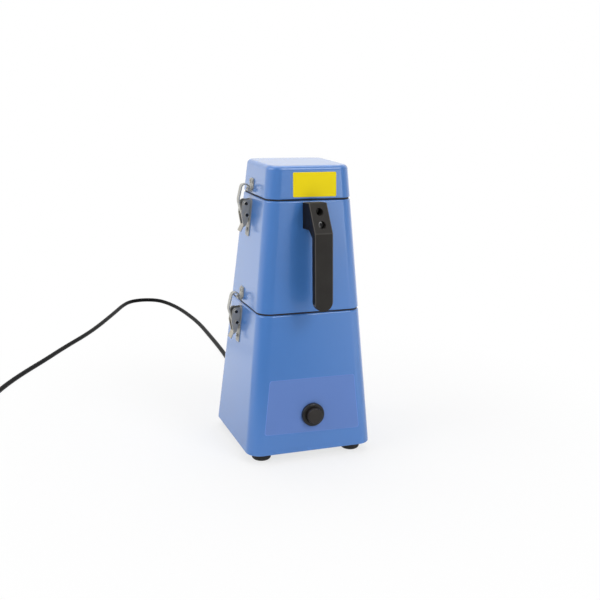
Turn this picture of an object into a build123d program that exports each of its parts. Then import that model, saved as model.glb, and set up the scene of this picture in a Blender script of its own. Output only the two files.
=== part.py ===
from build123d import *
import math
import os

# Batch laboratory mill, in millimetres: +Z is up, the front faces -Y, and the origin is on the
# table under the middle of the feet. A tapered motor housing carries a lift-off grinding chamber,
# and a lid closes the chamber. Two toggle latches hold each joint, one on each side.

# ---- Casings ----
base_width = 170.0
base_depth = 165.0
top_width = 107.0
top_depth = 105.0
base_corner = 18.5
top_corner = 16.4
foot_height = 12.0
housing_height = 180.5
chamber_height = 141.0
lid_height = 41.5
joint_gap = 2.0
casing_wall = 4.0
deck_thickness = 8.0
lid_top_thickness = 5.0
casing_edge_radius = 1.2
casing_rim_radius = 2.4
lid_edge_radius = 6.0
spigot_height = 4.0
spigot_clearance = 1.0
gasket_inset = 1.6

# ---- Clearances ----
fit_clearance = 0.02
running_clearance = 0.05
screw_clearance = 0.1
moving_gap = 0.3

# ---- Feet and base plate ----
foot_diameter = 25.0
foot_setback = 23.0
foot_edge_radius = 4.0
plate_thickness = 3.0
plate_clearance = 0.6
boss_height = 30.0
boss_width = 14.0
vent_width = 4.0
vent_length = 42.0
vent_pitch = 9.0
vents_per_side = 5

# ---- M4 screws: feet, lid, chamber and latch fixings ----
screw_diameter = 4.0
screw_head_diameter = 7.5
screw_head_height = 2.4
screw_drive_share = 3.0
foot_screw_recess = 6.0
foot_screw_length = 26.0

# ---- Motor ----
motor_diameter = 84.0
core_length = 50.0
core_ring_width = 7.0
pole_width = 16.0
pole_shoe_width = 40.0
pole_shoe_thickness = 5.0
coil_thickness = 2.6
coil_side = 7.0
bell_thickness = 10.0
upper_skirt = 24.0
lower_skirt = 34.0
bell_window_width = 30.0
bell_window_margin = 5.0
air_gap = 0.5
armature_diameter = 45.6
armature_slots = 12
armature_slot_width = 3.0
armature_slot_depth = 8.0
winding_head_length = 11.0
winding_head_diameter = 39.0
commutator_diameter = 28.0
commutator_length = 16.0
commutator_segments = 12
segment_gap = 0.8
fan_diameter = 66.0
fan_height = 9.0
fan_hub_diameter = 22.0
fan_blades = 8
fan_blade_thickness = 1.6
brush_width = 6.0
brush_height = 8.0
brush_length = 18.0
brush_holder_wall = 2.0
brush_holder_reach = 6.0
motor_bolt_diameter = 4.0
motor_bolt_head = 7.0
motor_bolt_count = 4

# ---- Shafts and bearings ----
shaft_diameter = 10.0
bearing_diameter = 26.0
bearing_width = 8.0
bearing_groove = 0.6
shaft_stub = 5.0

# ---- Coupling ----
coupling_core_diameter = 16.0
coupling_lobes = 6
coupling_lobe_diameter = 5.0
coupling_lobe_circle = 17.0
coupling_lug_height = 10.5
coupling_clearance = 0.4
coupling_hub_diameter = 26.0
coupling_hub_height = 10.0
coupling_cup_diameter = 30.0
coupling_cup_hub = 7.0
deck_bore_diameter = 32.0

# ---- Control board and switch ----
board_width = 84.0
board_depth = 40.0
board_thickness = 1.6
board_offset = 44.0
standoff_height = 8.0
standoff_diameter = 6.0
capacitor_width = 18.0
capacitor_height = 15.0
capacitor_margin = 10.0
capacitor_setback = 8.0
relay_width = 19.0
relay_depth = 16.0
relay_height = 12.0
relay_gap = 6.0
relay_setback = 6.0
can_diameter = 9.0
can_height = 14.0
can_setback = 12.0
terminal_count = 4
terminal_pitch = 7.0
terminal_width = 6.0
terminal_depth = 9.0
terminal_height = 9.0
terminal_inset = 6.0
terminal_setback = 3.0
terminal_screw_diameter = 3.0
terminal_screw_depth = 4.0
button_height = 60.5
button_ring_diameter = 30.0
button_ring_height = 5.0
button_cap_diameter = 20.0
button_cap_height = 11.0
button_cap_sink = 0.4
button_cap_gap = 0.5
button_stem_diameter = 14.0
button_stem_length = 12.0
button_stem_clearance = 0.4
button_travel = 3.0
button_barrel_diameter = 22.0
switch_flange_diameter = 27.0
switch_flange_thickness = 5.0
switch_block_width = 20.0
switch_block_length = 22.0

# ---- Grinding chamber ----
cup_flange_diameter = min(top_width, top_depth) - 5.0
cup_flange_width = 7.0
cup_bore = cup_flange_diameter - 2 * cup_flange_width
cup_wall = 2.0
cup_floor = 2.0
cup_depth = 63.0
cup_corner_radius = 8.0
cup_flange_thickness = 2.0
cup_flange_proud = 0.5
carrier_nose_diameter = 22.0
carrier_nose_height = 2.0
carrier_flange_diameter = 60.0
carrier_flange_thickness = 6.0
carrier_tube_diameter = 36.0
carrier_tube_length = 41.0
seal_diameter = 18.0
seal_thickness = 7.0
blade_height = 7.0
blade_length = cup_bore - 10.0
blade_width = 17.0
blade_tip_width = 9.0
blade_thickness = 2.5
blade_edge_width = 4.0
blade_hub_diameter = 22.0
blade_collar_diameter = 14.0
nut_across_flats = 15.0
nut_height = 8.0
nut_dome_radius = 9.0

# ---- Lid ----
liner_diameter = cup_flange_diameter + 2.0
liner_thickness = 1.5
liner_spigot_diameter = cup_bore - 2.0
liner_spigot_depth = 6.0
lid_seal_outer = cup_flange_diameter - 1.0
lid_seal_inner = cup_bore + 3.0
lid_seal_thickness = 2.0
lid_boss_diameter = 16.0
lid_screw_length = 20.0

# ---- Handle ----
handle_width = 24.0
handle_drop = 1.5
handle_top_reach = 21.5
handle_reach = 42.0
handle_slope_length = 36.0
handle_length = 131.0
handle_grip_thickness = 10.0
handle_block_height = 33.0
handle_edge_radius = 1.5
handle_screw_diameter = 5.0
handle_screw_head = 8.5
handle_screw_head_height = 5.0
handle_screw_seat = 8.0
handle_screw_places = (10.5, 26.0)
hex_key_width = 4.0

# ---- Toggle latches, seen along the pivots: u points away from the casing, v up its face ----
latch_setback = 10.0
latch_sheet = 1.0
latch_base_width = 14.0
latch_base_rise = 6.0
latch_base_length = 42.0
latch_screw_diameter = 3.0
latch_screw_head = 5.5
latch_screw_head_height = 1.2
latch_screw_places = (-22.0, -34.0)
ear_radius = 4.6
pivot_reach = 8.0
pivot_drop = 12.0
rivet_diameter = 4.0
rivet_bore = 2.6
rivet_head_diameter = 6.0
rivet_head_height = 0.8
lever_eye_radius = 5.0
lever_shoulder_drop = 13.0
lever_waist_drop = 28.0
lever_taper = 4.3
lever_slot_length = 26.5
lever_cheek_length = 30.0
lever_tab_drop = 36.5
lever_tab_flare = 3.2
claw_width = 8.6
claw_sheet = 1.5
claw_pivot_inset = 2.4
claw_pivot_drop = 14.5
claw_root = 2.4
claw_bulge_out = 8.9
claw_bulge_rise = 3.0
claw_bulge_radius = 14.0
claw_neck_out = 6.3
claw_crook = 10.0
claw_height = 24.2
claw_tip = 17.8
keeper_width = 17.0
keeper_top_width = 12.0
keeper_low = 6.0
keeper_high = 20.3
keeper_sheet = 1.2
keeper_lip = 3.5
keeper_curl_radius = 2.0
keeper_hook_width = 9.0
keeper_screw_rise = 16.5
keeper_screw_spacing = 7.0

# ---- Cord: mains flex, strain relief, coil and plug ----
cord_diameter = 7.5
cord_exit_height = 34.0
relief_flange_diameter = 20.0
relief_flange_thickness = 3.0
relief_root_diameter = 15.0
relief_tip_diameter = 11.0
relief_length = 27.7
relief_shank_diameter = 13.0
relief_shank_length = 12.0
cord_first_run = 40.0
coil_radius = 46.0
coil_pitch = 8.0
coil_layer_turns = 1
coil_layer_rise = 8.25
coil_exit_run = 30.0
coil_exit_slope_length = 46.0
plug_face_diameter = 37.0
plug_face_depth = 15.0
plug_body_diameter = 26.0
plug_body_length = 24.0
plug_sleeve_diameter = 12.0
plug_sleeve_length = 16.0
pin_diameter = 4.8
pin_length = 19.0
pin_spacing = 19.0
pin_root = 4.0

# ---- Levels that follow from the sizes above ----
z_base = foot_height
z_joint = z_base + housing_height
z_lid_joint = z_joint + chamber_height
z_top = z_lid_joint + lid_height
z_housing_top = z_joint - joint_gap / 2
z_chamber_bottom = z_joint + joint_gap / 2
z_chamber_top = z_lid_joint - joint_gap / 2
z_lid_bottom = z_lid_joint + joint_gap / 2
z_spigot_top = z_housing_top + spigot_height
z_deck_bottom = z_housing_top - deck_thickness
z_upper_bell = z_deck_bottom - bell_thickness
z_core_top = z_upper_bell - upper_skirt
z_core_bottom = z_core_top - core_length
z_lower_bell = z_core_bottom - lower_skirt
z_motor_bottom = z_lower_bell - bell_thickness
z_commutator = z_core_bottom - winding_head_length - commutator_length - 2
z_drive_hub = z_spigot_top - coupling_hub_height + 0.5
z_drive_top = z_drive_hub + coupling_hub_height + coupling_lug_height
z_cup_rim = z_chamber_top + cup_flange_proud
z_cup_floor = z_cup_rim - cup_depth
z_cup_bottom = z_cup_floor - cup_floor
z_carrier_flange = z_cup_bottom - carrier_flange_thickness
z_carrier_bottom = z_carrier_flange - carrier_tube_length
z_driven_bottom = z_drive_hub + coupling_hub_height + 1.0
z_driven_socket = z_drive_top + 2.0
z_driven_top = z_driven_socket + coupling_cup_hub
z_blade = z_cup_floor + blade_height
z_blade_top = z_blade + blade_thickness
z_liner_rim = z_cup_rim + moving_gap + lid_seal_thickness
z_plate_top = z_base + plate_thickness

# ---- Widths of the latches, from the claw in the middle outward ----
ear_spacing = claw_width + 2 * (moving_gap + latch_sheet)
lever_spacing = ear_spacing + 2 * (moving_gap + latch_sheet)

# ---- Slopes of the faces ----
casing_height = z_top - z_base
side_tilt = math.atan((base_width - top_width) / 2 / casing_height)
front_tilt = math.atan((base_depth - top_depth) / 2 / casing_height)
wall_normal = casing_wall * math.cos(front_tilt)
side_wall_normal = casing_wall * math.cos(side_tilt)


# ---- Frames on the sloping faces ----
def rise(z):
    return (z - z_base) / casing_height


def half_width(z):
    return (base_width + (top_width - base_width) * rise(z)) / 2


def half_depth(z):
    return (base_depth + (top_depth - base_depth) * rise(z)) / 2


def corner_radius(z):
    return base_corner + (top_corner - base_corner) * rise(z)


def outline(z, inset=0.0):
    """The casing's rounded outline at height z, drawn in by inset."""
    corner = max(corner_radius(z) - inset, 1.0)
    size = (2 * (half_width(z) - inset), 2 * (half_depth(z) - inset))
    return Plane.XY.offset(z) * RectangleRounded(*size, corner)


def casing_block(z_low, z_high, inset_low=0.0, inset_high=0.0):
    """A solid between two outlines of the tapered casing."""
    sections = [outline(z_low, inset_low).face(), outline(z_high, inset_high).face()]
    return loft(sections, ruled=True)


def front_frame(z):
    """On the front face: x to the right, y up the slope, z outward."""
    normal = (0, -math.cos(front_tilt), math.sin(front_tilt))
    return Plane(origin=(0, -half_depth(z), z), x_dir=(1, 0, 0), z_dir=normal)


def back_frame(z):
    """On the back face: z outward, y up the slope."""
    normal = (0, math.cos(front_tilt), math.sin(front_tilt))
    return Plane(origin=(0, half_depth(z), z), x_dir=(-1, 0, 0), z_dir=normal)


def side_frame(z, side):
    """On the left (side -1) or right (side 1) face at the latches: x outward, z up the slope."""
    outward = (side * math.cos(side_tilt), 0, math.sin(side_tilt))
    upward = (-side * math.sin(side_tilt), 0, math.cos(side_tilt))
    return Plane(origin=(side * half_width(z), latch_setback, z), x_dir=outward, z_dir=upward)


def rod(diameter, z_low, z_high, x=0.0, y=0.0):
    """An upright cylinder between two heights."""
    return Pos(x, y, z_low) * Cylinder(
        diameter / 2, z_high - z_low, align=(Align.CENTER, Align.CENTER, Align.MIN)
    )


def tube(outer, inner, z_low, z_high):
    return rod(outer, z_low, z_high) - rod(inner, z_low - 1, z_high + 1)


def block(x_low, x_high, y_low, y_high, z_low, z_high):
    size = (x_high - x_low, y_high - y_low, z_high - z_low)
    return Pos(x_low, y_low, z_low) * Box(*size, align=(Align.MIN, Align.MIN, Align.MIN))


def across(profile, width):
    """A profile in the XZ plane, given a width along Y that is centred on it."""
    return extrude(Plane.XZ * profile, amount=width / 2, both=True)


def turned(points):
    """A body of revolution about Z from (radius, height) points."""
    return revolve(Plane.XZ * make_face(Polyline(points, close=True)), Axis.Z)


def group(solids):
    """Separate solids of one node."""
    return Compound(children=list(solids))


def pan_screw(length, diameter=screw_diameter, head=screw_head_diameter, height=screw_head_height):
    """A pan-head screw at the origin: its shank runs down -Z and its head stands on z = 0."""
    crown = Cylinder(head / 2, height, align=(Align.CENTER, Align.CENTER, Align.MIN))
    crown = fillet(crown.edges().group_by(Axis.Z)[-1], height * 0.45)
    slot = head / screw_drive_share
    drive = Pos(0, 0, height) * Box(head, slot / 3, height * 0.8)
    drive += Pos(0, 0, height) * Box(slot / 3, head, height * 0.8)
    drive &= Pos(0, 0, height) * Cylinder(slot, height)
    shank = Cylinder(diameter / 2, length, align=(Align.CENTER, Align.CENTER, Align.MAX))
    return crown - drive + shank


def latch_screw(sheet):
    """A small pan-head screw through a latch's sheet and the side wall; its head faces u."""
    length = sheet + side_wall_normal + 3
    screw = pan_screw(length, latch_screw_diameter, latch_screw_head, latch_screw_head_height)
    return Pos(sheet, 0, 0) * Rot(0, 90, 0) * screw


# ---- Places of repeated pieces ----
foot_x = base_width / 2 - foot_setback
foot_y = base_depth / 2 - foot_setback
foot_places = [(sx * foot_x, sy * foot_y) for sx in (-1, 1) for sy in (-1, 1)]
bolt_circle = motor_diameter / 2 - core_ring_width / 2
bolt_places = [
    (bolt_circle * math.cos(math.radians(a)), bolt_circle * math.sin(math.radians(a)))
    for a in (45 + 360 / motor_bolt_count * i for i in range(motor_bolt_count))
]


# ---- Motor housing ----
def latch_holes(z, side, heights, y_places, depth):
    """Cutters for the screws that go through a side wall under a latch or a keeper."""
    frame = side_frame(z, side)
    radius = latch_screw_diameter / 2 + screw_clearance
    return [
        frame * (Pos(0, y, v) * Rot(0, 90, 0) * Cylinder(radius, depth))
        for v in heights
        for y in y_places
    ]


def motor_housing():
    body = casing_block(z_base, z_housing_top)
    body = fillet(body.edges().group_by(Axis.Z)[-1], casing_rim_radius)
    body = fillet(body.edges().group_by(Axis.Z)[0], casing_edge_radius)
    body -= casing_block(z_base, z_deck_bottom, casing_wall, casing_wall)
    spigot_inset = casing_wall + spigot_clearance
    body += casing_block(z_housing_top - 1, z_spigot_top, spigot_inset, spigot_inset)
    for sx in (-1, 1):
        for sy in (-1, 1):
            reach = Vector(sx, sy, 0).normalized() * foot_setback
            start = Vector(sx * foot_x, sy * foot_y, 0)
            path = SlotCenterPoint(start + reach * 0.5, start, boss_width)
            web = extrude(Plane.XY.offset(z_plate_top) * path, amount=boss_height)
            body += web & casing_block(z_base, z_deck_bottom, casing_wall / 2, casing_wall / 2)
    for x, y in foot_places:
        body -= rod(screw_diameter + 2 * screw_clearance, z_base, z_plate_top + boss_height - 4, x, y)
    body -= rod(deck_bore_diameter, z_deck_bottom - 1, z_spigot_top + 1)
    for x, y in bolt_places:
        body -= rod(motor_bolt_diameter + 2 * screw_clearance, z_deck_bottom - 1, z_spigot_top + 1, x, y)
        body -= rod(motor_bolt_head + 1, z_spigot_top - screw_head_height - 0.6, z_spigot_top + 1, x, y)
    hole = Cylinder(button_barrel_diameter / 2 + screw_clearance, 4 * casing_wall)
    body -= front_frame(button_height) * hole
    hole = Cylinder(relief_shank_diameter / 2 + screw_clearance, 4 * casing_wall)
    body -= back_frame(cord_exit_height) * hole
    for side in (-1, 1):
        heights = [-pivot_drop + v for v in latch_screw_places]
        body -= latch_holes(z_joint, side, heights, (0,), 4 * casing_wall)
    return body


def base_plate():
    plate = extrude(outline(z_base, casing_wall + plate_clearance), amount=plate_thickness)
    for x, y in foot_places:
        plate -= rod(screw_diameter + 2 * screw_clearance, z_base - 1, z_plate_top + 1, x, y)
    for side in (-1, 1):
        for i in range(vents_per_side):
            y = (i - (vents_per_side - 1) / 2) * vent_pitch
            slot = Pos(side * (vent_length / 2 + 6), y - 6) * SlotOverall(vent_length, vent_width)
            plate -= extrude(Plane.XY.offset(z_base - 1) * slot, amount=plate_thickness + 2)
    for sx in (-1, 1):
        for sy in (-1, 1):
            x, y = board_post(sx, sy)
            plate += rod(standoff_diameter, z_plate_top, z_plate_top + standoff_height, x, y)
    return plate


def board_post(sx, sy):
    x = sx * (board_width / 2 - standoff_diameter / 2 - 1)
    y = board_offset + sy * (board_depth / 2 - standoff_diameter / 2 - 1)
    return x, y


def rubber_feet():
    """Domed feet, each with a recess below for its screw."""
    feet = []
    for x, y in foot_places:
        foot = rod(foot_diameter, 0, foot_height, x, y)
        foot = fillet(foot.edges().group_by(Axis.Z)[0], foot_edge_radius)
        foot = fillet(foot.edges().group_by(Axis.Z)[-1], foot_edge_radius / 4)
        foot -= rod(screw_head_diameter + 1, -1, foot_screw_recess, x, y)
        foot -= rod(screw_diameter + 2 * screw_clearance, -1, foot_height + 1, x, y)
        feet.append(foot)
    return group(feet)


def foot_screws():
    screw = Rot(180, 0, 0) * pan_screw(foot_screw_length)
    return group(Pos(x, y, foot_screw_recess) * screw for x, y in foot_places)


def joint_gasket(z, inner):
    """A rubber ring that follows the outline, from z up; it shows as the dark line of a joint."""
    height = joint_gap - moving_gap
    ring = extrude(outline(z, gasket_inset), amount=height)
    return ring - extrude(outline(z, inner), amount=height)


# ---- Motor ----
def bell(z_plate, z_skirt_low, z_skirt_high, pocket_low, pocket_high):
    """A cast end bell: a disc with a bearing pocket, and a skirt with four windows."""
    body = rod(motor_diameter, z_plate, z_plate + bell_thickness)
    skirt = tube(motor_diameter, motor_diameter - 2 * core_ring_width, z_skirt_low, z_skirt_high)
    window = block(
        -bell_window_width / 2,
        bell_window_width / 2,
        -motor_diameter,
        motor_diameter,
        z_skirt_low + bell_window_margin,
        z_skirt_high - bell_window_margin,
    )
    skirt -= window
    skirt -= Rot(0, 0, 90) * window
    body += skirt
    body -= rod(bearing_diameter + 2 * fit_clearance, pocket_low, pocket_high)
    body -= rod(shaft_diameter + 4, z_plate - 1, z_plate + bell_thickness + 1)
    hole = motor_bolt_diameter + 2 * screw_clearance
    low = min(z_plate, z_skirt_low) - 1
    high = max(z_plate + bell_thickness, z_skirt_high) + 1
    for x, y in bolt_places:
        body -= rod(hole, low, high, x, y)
    return body


def upper_motor_bell():
    pocket = z_upper_bell + bearing_width
    return bell(z_upper_bell, z_core_top, z_upper_bell, z_upper_bell - 1, pocket)


def lower_motor_bell():
    pocket = z_lower_bell - bearing_width
    return bell(z_motor_bottom, z_lower_bell, z_core_bottom, pocket, z_lower_bell + 1)


def stator_core():
    """Two-pole lamination stack: a ring, two necks and two curved shoes."""
    ring = Circle(motor_diameter / 2) - Circle(motor_diameter / 2 - core_ring_width)
    bore = armature_diameter / 2 + air_gap
    shoe = Circle(bore + pole_shoe_thickness) - Circle(bore)
    shoes = shoe & Rectangle(pole_shoe_width, motor_diameter)
    necks = Rectangle(pole_width, motor_diameter - core_ring_width) - Circle(bore + 1)
    section = ring + shoes + (necks - Circle(bore))
    stack = extrude(Plane.XY.offset(z_core_bottom) * section, amount=core_length)
    for x, y in bolt_places:
        hole = motor_bolt_diameter + 2 * screw_clearance
        stack -= rod(hole, z_core_bottom - 1, z_core_top + 1, x, y)
    return stack


def stator_windings():
    """One field coil round each pole neck."""
    start = armature_diameter / 2 + air_gap + pole_shoe_thickness + 0.2
    width = pole_width + 2 * coil_side
    coil = Rectangle(width, core_length + 2 * coil_side)
    coil = fillet(coil.vertices(), coil_side * 0.6)
    coil -= Rectangle(pole_width + 0.2, core_length + 0.2)
    middle = Plane(origin=(0, start, (z_core_bottom + z_core_top) / 2), x_dir=(1, 0, 0), z_dir=(0, 1, 0))
    front = extrude(middle * coil, amount=coil_thickness)
    return group([front, Rot(0, 0, 180) * front])


def motor_bolts():
    """Long bolts that hang the motor from the deck and hold its bells together."""
    head_seat = z_spigot_top - screw_head_height - 0.6
    bolts = []
    for x, y in bolt_places:
        bolt = rod(motor_bolt_diameter, z_motor_bottom - 2, head_seat, x, y)
        bolt += rod(motor_bolt_head, head_seat, head_seat + screw_head_height, x, y)
        slot = Box(motor_bolt_head + 1, 1.0, 2.4)
        bolts.append(bolt - Pos(x, y, head_seat + screw_head_height) * slot)
    return group(bolts)


def brush_holders():
    z_middle = z_commutator + commutator_length / 2
    half_w = brush_width / 2 + brush_holder_wall
    half_h = brush_height / 2 + brush_holder_wall
    start = commutator_diameter / 2 + 3
    stop = motor_diameter / 2 + brush_holder_reach
    body = block(start, stop, -half_w, half_w, z_middle - half_h, z_middle + half_h)
    body -= block(
        start - 1,
        stop - 2,
        -brush_width / 2,
        brush_width / 2,
        z_middle - brush_height / 2,
        z_middle + brush_height / 2,
    )
    strap = block(
        motor_diameter / 2 - core_ring_width,
        motor_diameter / 2,
        -bell_window_width / 2,
        bell_window_width / 2,
        z_middle - 2.5,
        z_middle + 2.5,
    )
    strap &= rod(motor_diameter, z_middle - 5, z_middle + 5)
    strap -= block(start, stop, -half_w, half_w, z_middle - half_h, z_middle + half_h)
    body += strap
    return group([body, Rot(0, 0, 180) * body])


def carbon_brushes():
    z_middle = z_commutator + commutator_length / 2
    start = commutator_diameter / 2 + moving_gap
    brush = block(
        start,
        start + brush_length,
        -brush_width / 2,
        brush_width / 2,
        z_middle - brush_height / 2,
        z_middle + brush_height / 2,
    )
    return group([brush, Rot(0, 0, 180) * brush])


def bearing(z_low):
    """A shielded ball bearing."""
    outer = bearing_diameter / 2
    inner = shaft_diameter / 2 + running_clearance
    race = 2.6
    z_high = z_low + bearing_width
    ring = rod(2 * outer, z_low, z_high) - rod(2 * inner, z_low - 1, z_high + 1)
    for z in (z_low, z_high - bearing_groove):
        ring -= tube(2 * (outer - race), 2 * (inner + race), z, z + bearing_groove)
    return ring


def motor_bearings():
    return group([bearing(z_lower_bell - bearing_width), bearing(z_upper_bell)])


def motor_shaft():
    shaft = rod(shaft_diameter, z_motor_bottom - shaft_stub, z_drive_top - 8)
    return chamfer(shaft.edges().filter_by(GeomType.CIRCLE), 0.6)


def armature():
    """Slotted core with its two winding heads."""
    section = Circle(armature_diameter / 2)
    for i in range(armature_slots):
        slot = Pos(armature_diameter / 2, 0) * Rectangle(armature_slot_depth, armature_slot_width)
        section -= Rot(0, 0, 360 / armature_slots * i) * slot
    section -= Circle(shaft_diameter / 2 + fit_clearance)
    core = extrude(Plane.XY.offset(z_core_bottom) * section, amount=core_length)
    for z in (z_core_bottom - winding_head_length, z_core_top):
        bore = shaft_diameter + 2 * fit_clearance
        head = tube(winding_head_diameter, bore, z, z + winding_head_length - 2)
        head = fillet(head.edges().filter_by(GeomType.CIRCLE).group_by(SortBy.RADIUS)[-1], 3.5)
        core += head
        core += tube(winding_head_diameter * 0.6, bore, z - 2, z + winding_head_length)
    return core


def commutator():
    z_high = z_commutator + commutator_length
    body = tube(commutator_diameter, shaft_diameter + 2 * fit_clearance, z_commutator, z_high)
    for i in range(commutator_segments):
        slot = Box(4.0, segment_gap, commutator_length + 2)
        place = Pos(commutator_diameter / 2, 0, (z_commutator + z_high) / 2)
        body -= Rot(0, 0, 360 / commutator_segments * i) * place * slot
    return body


def cooling_fan():
    """Radial fan between the armature and the upper bell."""
    z_low = z_upper_bell - fan_height - 2
    z_high = z_low + fan_height
    bore = shaft_diameter + 2 * fit_clearance
    body = tube(fan_hub_diameter, bore, z_low, z_high)
    body += tube(fan_diameter, bore, z_high - 1.5, z_high)
    inner = Vector(fan_hub_diameter / 2 - 1, 0, 0)
    outer = Vector(fan_diameter / 2 - 1, 0, 0).rotate(Axis.Z, 28)
    spine = SagittaArc(inner, outer, 4.5)
    vane = extrude(Plane.XY.offset(z_low) * trace(spine, fan_blade_thickness), amount=fan_height - 1)
    for i in range(fan_blades):
        body += Rot(0, 0, 360 / fan_blades * i) * vane
    return body


# ---- Coupling ----
def lobed_section(clearance=0.0):
    """The six-lobed star of the coupling, grown all round by a clearance."""
    star = Circle(coupling_core_diameter / 2 + clearance)
    for i in range(coupling_lobes):
        lobe = Pos(coupling_lobe_circle / 2, 0) * Circle(coupling_lobe_diameter / 2 + clearance)
        star += Rot(0, 0, 360 / coupling_lobes * i) * lobe
    return star


def drive_coupling():
    z_lug = z_drive_hub + coupling_hub_height
    body = rod(coupling_hub_diameter, z_drive_hub, z_lug)
    lug = extrude(Plane.XY.offset(z_lug) * lobed_section(), amount=coupling_lug_height)
    lead = rod(coupling_lobe_circle + coupling_lobe_diameter + 1, z_lug, z_drive_top)
    body += lug & chamfer(lead.edges().group_by(Axis.Z)[-1], 1.3)
    return body - rod(shaft_diameter + 2 * fit_clearance, z_drive_hub - 1, z_drive_top - 8)


def driven_coupling():
    body = rod(coupling_cup_diameter, z_driven_bottom, z_driven_top)
    body = fillet(body.edges().filter_by(GeomType.CIRCLE), 1.2)
    depth = z_driven_socket - z_driven_bottom + 1
    socket = Plane.XY.offset(z_driven_bottom - 1) * lobed_section(coupling_clearance)
    body -= extrude(socket, amount=depth)
    bore = shaft_diameter + 2 * fit_clearance
    return body - rod(bore, z_driven_socket - 1, z_driven_top + 1)


# ---- Control board, switch and button ----
def control_board():
    """Circuit board with its capacitor, relay, can and row of screw terminals."""
    z = z_plate_top + standoff_height
    half = board_width / 2
    low = board_offset - board_depth / 2
    high = board_offset + board_depth / 2
    board = block(-half, half, low, high, z, z + board_thickness)
    top = z + board_thickness
    x = capacitor_margin - half
    y = low + capacitor_setback
    board += block(x, x + capacitor_width, y, y + capacitor_width, top, top + capacitor_height)
    x += capacitor_width + relay_gap
    y = low + relay_setback
    board += block(x, x + relay_width, y, y + relay_depth, top, top + relay_height)
    x += relay_width + can_diameter
    board += rod(can_diameter, top, top + can_height, x, low + can_setback)
    y = high - terminal_setback
    crown = top + terminal_height
    for i in range(terminal_count):
        x = half - terminal_inset - terminal_pitch * (terminal_count - i)
        board += block(x, x + terminal_width, y - terminal_depth, y, top, crown)
        place = (x + terminal_width / 2, y - terminal_depth / 2)
        board -= rod(terminal_screw_diameter, crown - terminal_screw_depth, crown + 1, *place)
    return board


def button_bezel():
    """Bezel ring with a dished face, and its barrel through the housing wall."""
    ring = Cylinder(
        button_ring_diameter / 2, button_ring_height, align=(Align.CENTER, Align.CENTER, Align.MIN)
    )
    ring = fillet(ring.edges().group_by(Axis.Z)[-1], 2.0)
    dish = Cylinder(
        button_cap_diameter / 2 + button_cap_gap,
        button_travel + button_cap_sink + moving_gap,
        align=(Align.CENTER, Align.CENTER, Align.MAX),
    )
    ring -= Pos(0, 0, button_ring_height) * dish
    barrel = Cylinder(
        button_barrel_diameter / 2, wall_normal + 1, align=(Align.CENTER, Align.CENTER, Align.MAX)
    )
    body = ring + Pos(0, 0, 1) * barrel
    reach = button_ring_height + wall_normal
    body -= Cylinder(button_stem_diameter / 2 + button_stem_clearance, 2 * reach)
    return front_frame(button_height) * body


def button_cap():
    head_bottom = button_ring_height - button_cap_sink
    head = Cylinder(
        button_cap_diameter / 2,
        button_cap_height - head_bottom,
        align=(Align.CENTER, Align.CENTER, Align.MIN),
    )
    head = fillet(head.edges().group_by(Axis.Z)[-1], 1.5)
    stem = Cylinder(
        button_stem_diameter / 2, button_stem_length, align=(Align.CENTER, Align.CENTER, Align.MAX)
    )
    return front_frame(button_height) * (Pos(0, 0, head_bottom) * (head + Pos(0, 0, 1) * stem))


def switch_block():
    """Contact block behind the wall, with its clamping flange and two terminals."""
    flange = Cylinder(
        switch_flange_diameter / 2, switch_flange_thickness, align=(Align.CENTER, Align.CENTER, Align.MAX)
    )
    body = Box(
        switch_block_width,
        switch_block_width,
        switch_block_length,
        align=(Align.CENTER, Align.CENTER, Align.MAX),
    )
    unit = flange + body
    unit -= Cylinder(button_stem_diameter / 2 + 0.4, 2 * (button_stem_length + 1))
    for side in (-1, 1):
        tab = Box(0.8, 6.0, 9.0, align=(Align.CENTER, Align.CENTER, Align.MAX))
        unit += Pos(side * 5, 0, -switch_block_length + 1) * tab
    return front_frame(button_height) * (Pos(0, 0, -wall_normal) * unit)


# ---- Chamber ----
def chamber_housing():
    body = casing_block(z_chamber_bottom, z_chamber_top)
    body = fillet(body.edges().group_by(Axis.Z)[-1], casing_rim_radius)
    body = fillet(body.edges().group_by(Axis.Z)[0], casing_edge_radius)
    z_deck = z_chamber_top - deck_thickness
    body -= casing_block(z_chamber_bottom, z_deck, casing_wall, casing_wall)
    cup_outer = cup_bore + 2 * cup_wall
    body -= rod(cup_outer + 2 * screw_clearance, z_deck - 1, z_chamber_top + 1)
    recess = z_cup_rim - cup_flange_thickness
    body -= rod(cup_flange_diameter + 2 * screw_clearance, recess, z_chamber_top + 1)
    for side in (-1, 1):
        heights = [-pivot_drop + v for v in latch_screw_places]
        body -= latch_holes(z_lid_joint, side, heights, (0,), 4 * casing_wall)
        spread = (-keeper_screw_spacing / 2, keeper_screw_spacing / 2)
        body -= latch_holes(z_joint, side, (keeper_screw_rise,), spread, 4 * casing_wall)
    for drop in handle_screw_places:
        hole = Cylinder(handle_screw_diameter / 2 + screw_clearance, 4 * casing_wall)
        body -= front_frame(z_chamber_top) * (Pos(0, -handle_drop - drop, 0) * hole)
    return body


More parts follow.
